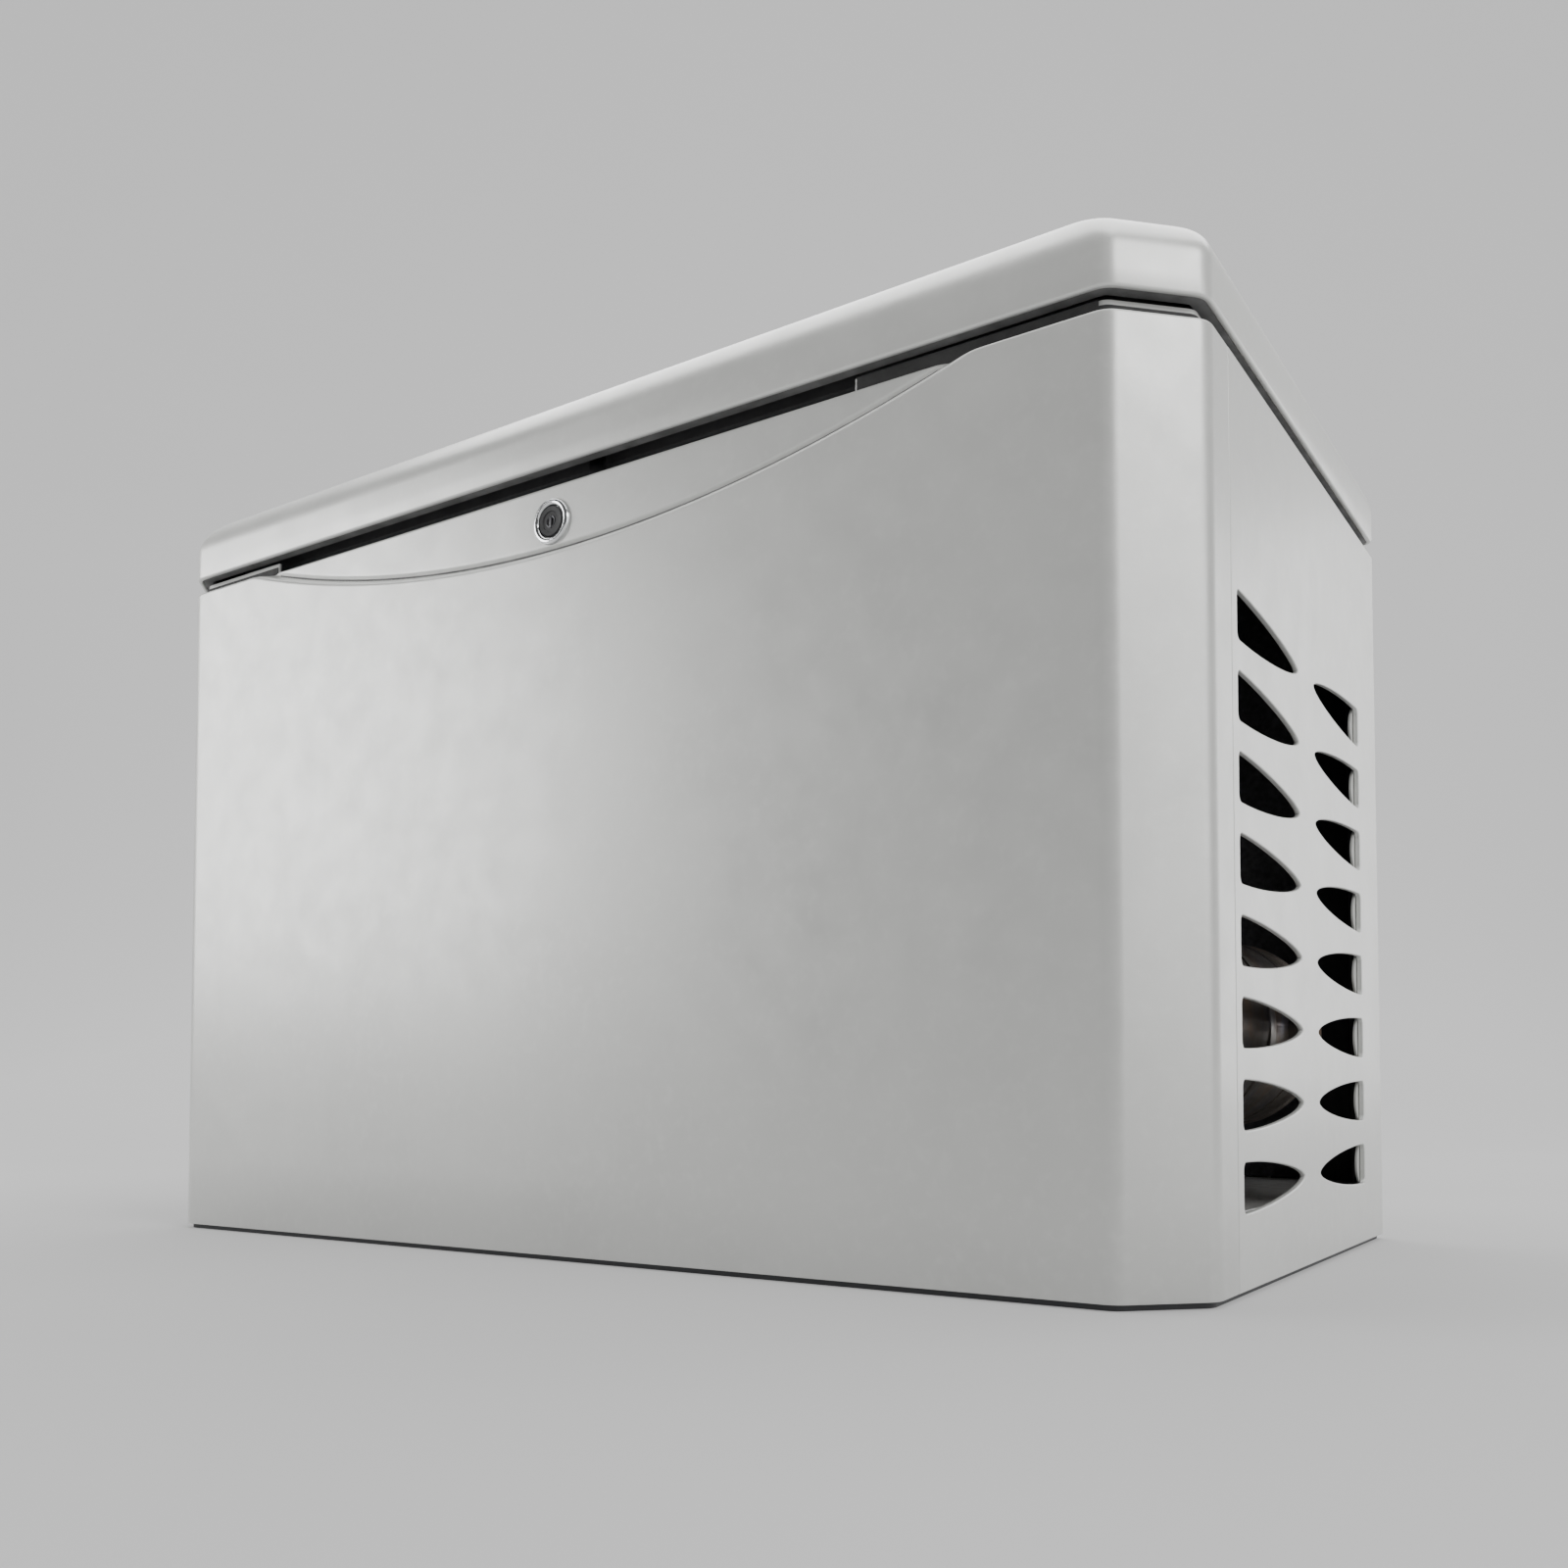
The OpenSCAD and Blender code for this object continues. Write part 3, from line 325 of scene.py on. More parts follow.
class Shader:
    """A Principled material with a few procedural helpers."""

    def __init__(self, name, color, rough, metal=0.0):
        self.material = bpy.data.materials.new(name)
        self.material.use_nodes = True
        self.nodes = self.material.node_tree.nodes
        self.links = self.material.node_tree.links
        self.base = self.nodes["Principled BSDF"]
        self.color, self.rough = color, rough
        self.base.inputs["Base Color"].default_value = (*color, 1)
        self.base.inputs["Roughness"].default_value = rough
        self.base.inputs["Metallic"].default_value = metal
        self.coords = self.nodes.new("ShaderNodeTexCoord").outputs["Object"]
        self.normal = None

    def stretched(self, scale):
        """Coordinates scaled by a different factor on each axis."""
        mapping = self.nodes.new("ShaderNodeMapping")
        mapping.inputs["Scale"].default_value = scale
        self.links.new(self.coords, mapping.inputs["Vector"])
        return mapping.outputs["Vector"]

    def noise(self, scale, detail=4.0, vector=None):
        node = self.nodes.new("ShaderNodeTexNoise")
        node.inputs["Scale"].default_value = scale
        node.inputs["Detail"].default_value = detail
        self.links.new(vector or self.coords, node.inputs["Vector"])
        return node.outputs["Fac"]

    def cells(self, scale, output="Distance", feature="F1"):
        node = self.nodes.new("ShaderNodeTexVoronoi")
        node.feature = feature
        node.inputs["Scale"].default_value = scale
        self.links.new(self.coords, node.inputs["Vector"])
        return node.outputs[output]

    def spread(self, value, low, high, start=0.3, end=0.7):
        node = self.nodes.new("ShaderNodeMapRange")
        node.inputs["From Min"].default_value = start
        node.inputs["From Max"].default_value = end
        node.inputs["To Min"].default_value = low
        node.inputs["To Max"].default_value = high
        self.links.new(value, node.inputs["Value"])
        return node.outputs["Result"]

    def bump(self, height, depth, strength=1.0):
        node = self.nodes.new("ShaderNodeBump")
        node.inputs["Strength"].default_value = strength
        node.inputs["Distance"].default_value = depth
        self.links.new(height, node.inputs["Height"])
        if self.normal:
            self.links.new(self.normal, node.inputs["Normal"])
        self.normal = node.outputs["Normal"]
        self.links.new(self.normal, self.base.inputs["Normal"])
        return self

    def tint(self, mask, other, start=0.35, end=0.65):
        """Mixes another colour in where the mask is high."""
        mix = self.nodes.new("ShaderNodeMix")
        mix.data_type = "RGBA"
        self.links.new(self.spread(mask, 0, 1, start, end), mix.inputs["Factor"])
        socket = self.base.inputs["Base Color"]
        if socket.is_linked:
            self.links.new(socket.links[0].from_socket, mix.inputs["A"])
        else:
            mix.inputs["A"].default_value = (*self.color, 1)
        mix.inputs["B"].default_value = (*other, 1)
        self.links.new(mix.outputs["Result"], socket)
        return self

    def uneven(self, value, amount):
        """Roughness that wanders by amount."""
        self.links.new(self.spread(value, self.rough - amount, self.rough + amount),
                       self.base.inputs["Roughness"])
        return self

    def coat(self, weight, rough):
        self.base.inputs["Coat Weight"].default_value = weight
        self.base.inputs["Coat Roughness"].default_value = rough
        return self


def shade(color, factor):
    """A colour made lighter or darker."""
    return tuple(min(1.0, c * factor) for c in color)


def paint(name, color, rough=0.36, peel=0.00004, coat=0.25, metal=0.0):
    s = Shader(name, color, rough, metal)
    s.tint(s.noise(6.0, 3), shade(color, 0.955))
    s.tint(s.noise(90.0, 5), shade(color, 1.03), 0.5, 0.8)
    s.uneven(s.noise(25.0, 4), 0.045)
    s.bump(s.noise(420.0, 3), peel)
    s.bump(s.noise(2600.0, 2), peel * 0.4)
    return s.coat(coat, 0.22).material


def cast(name, color, rough=0.5, metal=0.85, grit=0.00025):
    s = Shader(name, color, rough, metal)
    s.tint(s.noise(18.0, 5), shade(color, 0.72), 0.42, 0.75)
    s.uneven(s.noise(60.0, 5), 0.1)
    s.bump(s.noise(700.0, 6), grit)
    return s.bump(s.noise(120.0, 3), grit * 0.7).material


def plated(name, color, rough=0.3):
    s = Shader(name, color, rough, 1.0)
    s.tint(s.noise(140.0, 4), shade(color, 0.85))
    s.uneven(s.noise(300.0, 3), 0.08)
    return s.bump(s.noise(1800.0, 2), 0.00002).material


def brushed(name, color, rough=0.32, along_axis=0):
    s = Shader(name, color, rough, 1.0)
    scale = [1200.0, 1200.0, 1200.0]
    scale[along_axis] = 12.0
    streaks = s.noise(1.0, 4, s.stretched(scale))
    s.tint(streaks, shade(color, 0.8))
    s.uneven(streaks, 0.08)
    return s.bump(streaks, 0.00003).material


def moulded(name, color, rough=0.55, grain=0.00006):
    s = Shader(name, color, rough)
    s.tint(s.noise(30.0, 4), shade(color, 1.25))
    s.uneven(s.noise(70.0, 3), 0.06)
    s.bump(s.cells(1500.0), grain)
    return s.bump(s.noise(900.0, 4), grain * 0.6).material


def rubber(name, color=(0.022, 0.022, 0.022)):
    s = Shader(name, color, 0.72)
    s.tint(s.noise(40.0, 4), shade(color, 1.6))
    s.uneven(s.noise(120.0, 3), 0.08)
    return s.bump(s.noise(1600.0, 4), 0.00008).material


def foam(name, color=(0.045, 0.045, 0.048)):
    s = Shader(name, color, 0.92)
    s.tint(s.noise(160.0, 5), shade(color, 1.7))
    s.bump(s.cells(46.0, feature="SMOOTH_F1"), 0.004)
    s.bump(s.noise(900.0, 5), 0.0006)
    s.base.inputs["Sheen Weight"].default_value = 0.25
    return s.material


def heat_stained(name, color=(0.17, 0.15, 0.135)):
    s = Shader(name, color, 0.48, 0.75)
    s.tint(s.noise(14.0, 5), (0.26, 0.15, 0.08), 0.5, 0.72)
    s.tint(s.noise(22.0, 4), (0.12, 0.12, 0.15), 0.52, 0.75)
    s.uneven(s.noise(55.0, 4), 0.12)
    return s.bump(s.noise(500.0, 5), 0.00012).material


def windings(name, color=(0.40, 0.17, 0.07)):
    s = Shader(name, color, 0.35, 0.4)
    strands = s.noise(1.0, 3, s.stretched((120.0, 900.0, 900.0)))
    s.tint(strands, shade(color, 0.5))
    s.uneven(strands, 0.1)
    return s.bump(strands, 0.0005).coat(0.4, 0.2).material


SHELL = paint("shell_finish", (0.66, 0.665, 0.645), metal=0.3)
DARK = paint("dark_powder_coat", (0.032, 0.033, 0.036), 0.5, 0.00009, 0.05)
ENAMEL = paint("black_enamel", (0.018, 0.018, 0.020), 0.38, 0.00005, 0.3)
FILTER_PAINT = paint("filter_white_paint", (0.68, 0.68, 0.66), 0.3, 0.00003, 0.4)
ALLOY = cast("cast_alloy", (0.52, 0.53, 0.545))
ZINC = plated("zinc_plate", (0.62, 0.63, 0.65))
CHROME = plated("polished_chrome", (0.80, 0.81, 0.82), 0.12)
BLACK_ZINC = plated("black_zinc", (0.10, 0.10, 0.105), 0.4)
SHAFT = brushed("ground_steel", (0.62, 0.62, 0.63), 0.24)
LEAD = cast("battery_lead", (0.30, 0.30, 0.32), 0.5, 0.9, 0.0001)
BRASS = plated("brass", (0.68, 0.50, 0.22), 0.28)
BLACK = moulded("moulded_black", (0.020, 0.020, 0.022))
BATTERY = moulded("battery_plastic", (0.028, 0.028, 0.031), 0.42, 0.00004)
LOCK_BLACK = moulded("lock_black", (0.010, 0.010, 0.011), 0.5, 0.00002)
YELLOW = moulded("yellow_plastic", (0.80, 0.50, 0.02), 0.38, 0.00003)
RED = moulded("red_plastic", (0.50, 0.02, 0.015), 0.36, 0.00003)
GREEN = moulded("green_plastic", (0.03, 0.27, 0.08), 0.36, 0.00003)
GREY = moulded("grey_plastic", (0.45, 0.46, 0.47), 0.4, 0.00003)
BOARD = moulded("board_green", (0.012, 0.13, 0.05), 0.38, 0.00002)
PORCELAIN = moulded("porcelain", (0.78, 0.78, 0.74), 0.2, 0.00001)
PAPER = moulded("filter_paper", (0.66, 0.58, 0.40), 0.85, 0.0002)
RUBBER = rubber("black_rubber")
GASKET = rubber("grey_gasket", (0.20, 0.20, 0.20))
# Dark grey used only for strips that paint shade: the lid edge's underside and the scoop's crease.
PAINTED_SHADE_GREY = rubber("painted_shade_grey", (0.13, 0.13, 0.13))
# Dark grey for the lid's rib, as painted shade in the gap under the lid.
RIB_SHADE_GREY = moulded("rib_painted_shade_grey", (0.085, 0.085, 0.088))
RED_RUBBER = rubber("red_insulation", (0.38, 0.02, 0.015))
FOAM = foam("acoustic_foam")
HOT = heat_stained("heat_stained_steel")
COPPER = windings("varnished_copper")


def window_glass():
    s = Shader("display_glass", (0.20, 0.30, 0.26), 0.08)
    s.tint(s.noise(60.0, 3), (0.16, 0.25, 0.21))
    s.base.inputs["Alpha"].default_value = 0.75
    return s.coat(1.0, 0.03).material


def bay_sheet():
    """Galvanised floor, and an upright wall tinted near-black as painted shade, told apart by
    height.
    """
    s = Shader("bay_sheet", (0.62, 0.62, 0.61), 0.45, 0.7)
    split = s.nodes.new("ShaderNodeSeparateXYZ")
    s.links.new(s.coords, split.inputs["Vector"])
    s.tint(s.cells(95.0, "Color"), (0.50, 0.50, 0.49), 0.2, 0.8)
    # Painted shade: above the floor the wall is tinted near-black, for the dark interior seen
    # through the vents.
    s.tint(split.outputs["Z"], (0.035, 0.034, 0.033), 0.0615, 0.075)
    s.uneven(s.noise(80.0, 4), 0.08)
    return s.bump(s.noise(900.0, 3), 0.00004).material


GLASS = window_glass()
BAY_SHEET = bay_sheet()


# ---------- enclosure ----------

def smooth(t):
    """Smooth step from 0 to 1."""
    t = min(max(t, 0.0), 1.0)
    return t * t * (3 - 2 * t)


def scoop_depth(x, z):
    """How far the front is pressed in at (x, z), with the groove along the scoop's edge."""
    inside = SCOOP_R - math.hypot(x, z - SCOOP_Z)
    groove = math.exp(-((inside - SCOOP_BLEND) / SCOOP_GROOVE_WIDTH) ** 2)
    return SCOOP_DEEP * smooth(inside / SCOOP_BLEND) + SCOOP_GROOVE * groove


def front_panel():
    """Front panel with its two wrapped corners and the blended scoop, and a dark grey strip in the
    scoop's groove that paints the crease's shadow.
    """
    edge = 0.002
    fine = PANEL_TOP - SCOOP_H - 0.012
    rows = [FOOT + edge + (fine - FOOT - edge) * k / 9 for k in range(9)]
    steps = round((PANEL_TOP - edge - fine) / 0.0011)
    rows += [fine + (PANEL_TOP - edge - fine) * k / steps for k in range(steps + 1)]
    inner_rows = rows[::-8]
    rim = [(-edge + edge * math.cos(a), PANEL_TOP - edge + edge * math.sin(a))
           for a in quarter(3)[1:]]
    profile = [(0.0, z) for z in rows] + rim
    profile += [(-WALL - w, z) for w, z in reversed(rim)]
    profile += [(-WALL, z) for z in inner_rows[1:]]
    profile += [(-WALL + 0.001, FOOT), (-0.001, FOOT)]
    left = [(Vector((-HALF_L, SEAM_Y)), LEFT)]
    right = [(Vector((HALF_L, SEAM_Y)), RIGHT)]
    start = plan_arc(4)[-1][0].x
    count = 236
    front = [(Vector((start - 2 * start * k / count, -HALF_D)), FRONT) for k in range(1, count)]
    path = left + plan_arc(3) + plan_arc(4) + front + plan_arc(5) + plan_arc(0) + right
    rings = []
    for p, n in path:
        flat = n.y < -0.9999
        rings.append([Vector((p.x + n.x * w, p.y + n.y * w, z)) -
                      Vector((n.x, n.y, 0)) * (scoop_depth(p.x, z) if flat else 0.0)
                      for w, z in profile])
    Build().loft(rings).make("front_cover_shell", SHELL, "front_cover", "shell_finish",
                             ["front_panel"], 50)
    # Painted shade: a dark grey strip in the groove along the scoop's edge draws the crease's
    # shadow line, thicker at the left.
    bottom = SCOOP_R - SCOOP_BLEND
    reach = math.acos((SCOOP_Z - PANEL_TOP + 0.004) / bottom)
    line = []
    for k in range(121):
        a = -reach + 2 * reach * k / 120
        half = 0.0013 - 0.0006 * k / 120
        out = Vector((math.sin(a), 0, -math.cos(a)))
        at = Vector((0, -HALF_D + SCOOP_DEEP + SCOOP_GROOVE, SCOOP_Z)) + out * bottom
        line.append([at + out * u + Vector((0, v, 0)) for u, v in
                     ((-half, 0.001), (half, 0.001),
                      (half * 0.7, -0.0010), (-half * 0.7, -0.0010))])
    Build().loft(line).make("scoop_crease_shade_strip", PAINTED_SHADE_GREY, "front_cover", "seal_rubber")


def lid_profile(skin=0.0):
    """(inset, height, cut) of the lid's skin from its skirt to the crown, drawn skin inside."""
    skirt, run, crown, dome, cut = 0.031, 0.052, 0.009, 0.20, 0.45
    rise = LID_TOP - LID_Z - skirt - crown
    points = [(skin, LID_Z + skirt * 0.5, 0.0)]
    for a in quarter(18):
        lean = math.atan2(run * math.sin(a), rise * math.cos(a))
        inset = run * (1 - math.cos(a))
        points.append((inset + skin * math.cos(lean),
                       LID_Z + skirt + rise * math.sin(a) - skin * math.sin(lean), inset * cut))
    for k in range(1, 13):
        height = LID_TOP - crown - skin + crown * math.sin(math.pi / 2 * k / 12)
        points.append((run + dome * k / 12, height, run * cut))
    return points


def rings(section):
    """Plan rings for a list of (inset, height, cut)."""
    return [plan_ring(*point) for point in section]


def lid():
    """Moulded lid, with a black inner skin, a dark grey edge strip and a dark grey rib that seats
    on the seal, all three painted shade for the zone under the lid.
    """
    lip = 0.0025
    outer = [(lip - lip * math.sin(a), LID_Z + lip - lip * math.cos(a), 0.0) for a in quarter(3)]
    inner = [(WALL - 0.001, LID_Z, 0.0), (WALL, LID_Z + 0.001, 0.0)] + lid_profile(WALL)
    Build().loft(rings(list(reversed(inner)) + outer + lid_profile())).make(
        "lid_shell", SHELL, "lid", "shell_finish", ["roof"], 45)
    # Painted shade: a black skin inside the lid keeps the zone under the lid dark.
    inner_shade = list(reversed(lid_profile(WALL + 0.0003))) + lid_profile(WALL + 0.0018)
    Build().loft(rings(inner_shade)).make("lid_inner_shade_skin", BLACK, "lid", "moulded_black")
    # Painted shade: a dark grey strip under the lid's lower edge draws the shaded underside of its
    # hem.
    edge_shade_profile = [(0.0052, LID_Z + 0.0012), (0.0160, LID_Z + 0.0012), (0.0172, LID_Z + 0.0022),
            (0.0172, LID_Z + 0.0052), (0.0142, LID_Z + 0.0052), (0.0142, LID_Z + 0.0036),
            (0.0052, LID_Z + 0.0036)]
    Build().loft(rings(edge_shade_profile), closed=True).make("lid_edge_shade_strip", PAINTED_SHADE_GREY, "lid", "seal_rubber")
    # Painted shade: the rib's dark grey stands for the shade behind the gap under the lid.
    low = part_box("lid_gasket")[1].z + 0.0003
    high = LID_TOP - 0.0215
    rib = [(0.049, high), (0.049, low + 0.002), (0.051, low),
           (0.065, low), (0.067, low + 0.002), (0.067, high)]
    Build().loft(rings(rib), closed=True).make("lid_seal_rib", RIB_SHADE_GREY, "lid", "moulded_black")


def leaf(blunt, tip, z):
    """Half-leaf vent outline from its blunt end to its tip, in flat sheet coordinates."""
    way = 1 if tip > blunt else -1
    half, r = VENT_H / 2, 0.006
    upper = []
    for a in reversed(quarter(4)):
        upper.append((r - r * math.cos(math.pi / 2 - a), half - r + r * math.sin(math.pi / 2 - a)))
    for k in range(1, 32):
        t = math.sin(math.pi / 2 * k / 32)
        u = r + (VENT_LEN - r) * t
        t = u / VENT_LEN
        upper.append((u, half * (1 - t * t) ** (0.95 - 0.3 * t)))
    loop = upper + [(u, -h) for u, h in reversed(upper)]
    loop = [(blunt + way * u, z + h) for u, h in loop]
    return loop if way > 0 else loop[::-1]


def end_panel(name, node, flip):
    """Vented end panel with its wrapped rear corner; flip mirrors it to the left."""
    path = along(plan_arc(0)[-1:] + plan_arc(1) + [(Vector((HALF_L - 0.10, HALF_D)), BACK)])
    first_y = path[0][1].y
    from_front = -HALF_D - first_y
    u0 = RIGHT_LOW.y - first_y
    u1 = path[-1][0]
    outline = [(u0, FOOT), (u1, FOOT), (u1, PANEL_TOP), (u0, PANEL_TOP)]
    holes = []
    for row in range(VENT_ROWS):
        z = VENT_BASE + row * VENT_PITCH
        for side in (-1, 1):
            tip = from_front + VENT_MID + side * VENT_SPLIT / 2
            holes.append(leaf(tip + side * VENT_LEN, tip, z))
    bent_sheet(name, outline, holes, path, SHELL, "chassis", [node], flip)


def vent_lips():
    """Curved returns behind the rear ends of the end vents."""
    lips = Build()
    y = -HALF_D + VENT_MID + VENT_SPLIT / 2 + VENT_LEN
    for row in range(VENT_ROWS):
        z = VENT_BASE + row * VENT_PITCH
        shape = [(y + 0.004, z - 0.022), (y + 0.004, z + 0.022)]
        shape += [(y + 0.001 - 0.013 * math.cos(math.pi / 2 * h) ** 0.8, z + h * 0.0215)
                  for h in (1 - k / 8 for k in range(17))]
        for side in (-1, 1):
            lips.loft([[Vector((side * x, u, h)) for u, h in shape]
                       for x in (HALF_L - WALL - 0.0004, HALF_L - WALL - 0.0024)])
    lips.make("vent_returns", SHELL, "chassis", "shell_finish")


def rear_panel():
    """Flat rear panel with two banks of slots and its two service holes."""
    edge = HALF_L - WRAP
    path = along([(Vector((edge, HALF_D)), BACK), (Vector((-edge, HALF_D)), BACK)])
    outline = [(0, FOOT), (2 * edge, FOOT), (2 * edge, PANEL_TOP), (0, PANEL_TOP)]
    holes = []
    for row in range(7):
        z = PANEL_TOP - 0.130 - row * 0.026
        for x in (-0.33, 0.33):
            slot = round_rect(edge - x - 0.095, z - 0.006, edge - x + 0.095, z + 0.006, 0.0059, 6)
            holes.append(slot)
    for x, z, r in ((-0.20, 0.110, 0.01525), (-0.43, 0.150, 0.018)):
        holes.append([(edge - x + r * math.cos(a), z + r * math.sin(a))
                      for a in (math.pi * k / 16 for k in range(32))])
    bent_sheet("rear_cover_shell", outline, holes, path, SHELL, "chassis",
               ["rear_panel"])


def lock():
    """Chromed ring, key plug and cam in the middle of the scoop."""
    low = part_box("lock_ring")[0]
    r, hole = 0.022, 0.0152
    face = low.y
    z = low.z + r
    at = (0, face, z)
    back = (0, 1, 0)
    ring = [(hole, 0.0035), (hole + 0.0008, 0.0012), (hole + 0.002, 0.0003), (r - 0.0030, 0.0),
            (r - 0.0012, 0.0006), (r - 0.0003, 0.0018), (r, 0.004), (hole + 0.0018, 0.0041),
            (hole + 0.0018, 0.017), (hole, 0.017)]
    Build().lathe(ring, at, back, 72, closed=True).make(
        "lock_escutcheon", CHROME, "front_cover", "lock_chrome", ["lock_ring"], 40)
    nut = Build().lathe([(0.0173, 0.016), (0.0225, 0.016), (0.023, 0.0165), (0.023, 0.0135),
                         (0.0225, 0.011), (0.0173, 0.011)], at, back, 6, closed=True)
    nut.make("lock_nut", ZINC, "front_cover", "zinc_hardware")
    plug_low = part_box("lock_plug")[0]
    cam_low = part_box("lock_plug")[1].y - 0.004
    front = plug_low.y - face
    plug = Build().lathe([(0.0001, front + 0.0016), (0.0035, front + 0.0016),
                          (0.0040, front + 0.0010), (0.0092, front + 0.0010),
                          (0.0098, front + 0.0002), (0.0138, front), (0.0148, front + 0.0012),
                          (0.0148, cam_low - face), (0.0001, cam_low - face)], at, back, 64)
    plug.block((-0.009, cam_low, z - 0.009), (0.009, cam_low + 0.004, z + 0.033), 0.0012)
    plug.make("lock_key_plug", LOCK_BLACK, "lock", "lock_black", ["lock_plug"], 40)
    key = Build()
    key.block((-0.0011, plug_low.y + 0.0002, z - 0.0062),
              (0.0011, plug_low.y + 0.0022, z + 0.0062), 0.0004)
    key.lathe([(0.0040, 0.0), (0.0052, -0.0005), (0.0062, 0.0), (0.0062, 0.0012), (0.004, 0.0012)],
              (0, plug_low.y + 0.0010, z), back, 40, closed=True)
    key.make("lock_keyway", BLACK_ZINC, "lock", "zinc_hardware")


def curved_strip(build, path, inset, thick, low, high):
    """Adds a strip that follows the plan outline, inset from the panel faces."""
    build.loft([[Vector((p.x - n.x * i, p.y - n.y * i, z)) for i, z in
                 ((inset, low), (inset, high), (inset + thick, high), (inset + thick, low))]
                for p, n in path])


def dark_interior():
    """Black foam sheets behind the panels that the vents look at, as painted shade for the
    interior; seals behind the seams; and black strips on the rim wall as painted shade in the gap
    under the lid.
    """
    foam, seals = Build(), Build()
    top = PANEL_TOP - 0.012
    for side in (-1, 1):
        corner = [(Vector((HALF_L, HALF_D - 0.075)), RIGHT)] + plan_arc(1)
        corner.append((Vector((HALF_L - 0.27, HALF_D)), BACK))
        front = [(Vector((HALF_L - CORNER - 0.022, -HALF_D)), FRONT)] + plan_arc(5) + plan_arc(0)
        front.append((Vector((HALF_L, -HALF_D + 0.118)), RIGHT))
        seam = [(Vector((HALF_L - WRAP + 0.012, HALF_D)), BACK),
                (Vector((HALF_L - WRAP - 0.014, HALF_D)), BACK)]
        # The foam sheets are painted shade: they stay black where the vents look into the dark
        # interior.
        for build, path, inset, thick, low in ((foam, corner, WALL + 0.0025, 0.004, 0.062),
                                               (foam, front, WALL + 0.0004, 0.005, 0.062),
                                               (seals, seam, WALL + 0.0002, 0.002, 0.047)):
            path = [(Vector((side * p.x, p.y)), Vector((side * n.x, n.y))) for p, n in path]
            curved_strip(build, path, inset, thick, low, top)
    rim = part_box("gutter_rim")[0].z
    front_end = [(Vector((GRIP_RIGHT + 0.002, -HALF_D)), FRONT)] + plan_arc(5)[:1]
    onward = plan_arc(5)[1:] + plan_arc(0) + plan_arc(1) + plan_arc(2) + plan_arc(3) + plan_arc(4)
    onward.append((Vector((GRIP_LEFT - 0.002, -HALF_D)), FRONT))
    # Painted shade: black strips on the rim wall, and a taller one along the front's right end,
    # stand for the shade in the gap under the lid.
    curved_strip(seals, front_end + onward, 0.0112, 0.0007, rim, PANEL_TOP + 0.0085)
    curved_strip(seals, front_end, 0.0112, 0.0007, PANEL_TOP + 0.0085, PANEL_TOP + 0.0130)
    foam.make("vent_view_shade_foam", FOAM, "chassis", "foam_lining")
    seals.make("seam_seals_and_rim_shade_strips", RUBBER, "chassis", "seal_rubber")


# ---------- small parts inside the enclosure ----------

def bank(side):
    """Frame of one cylinder bank, its Z along the bore; side -1 is the front bank."""
    return (Matrix.Translation((0.072 if side < 0 else 0.112, 0.0, SHAFT_Z))
            @ Matrix.Rotation(math.radians(-45 * side), 4, "X"))


def face_frame():
    """Frame of the leaning control face, its -Y outwards and its Z up the slope."""
    return (Matrix.Translation((FACE_X, -HALF_D + 0.061, PANEL_TOP - 0.170))
            @ Matrix.Rotation(math.radians(-35), 4, "X"))


def around(count, radius, start=0.0):
    """Offsets on a circle."""
    return [(radius * math.cos(a), radius * math.sin(a)) for a in
            (math.radians(start) + 2 * math.pi * k / count for k in range(count))]


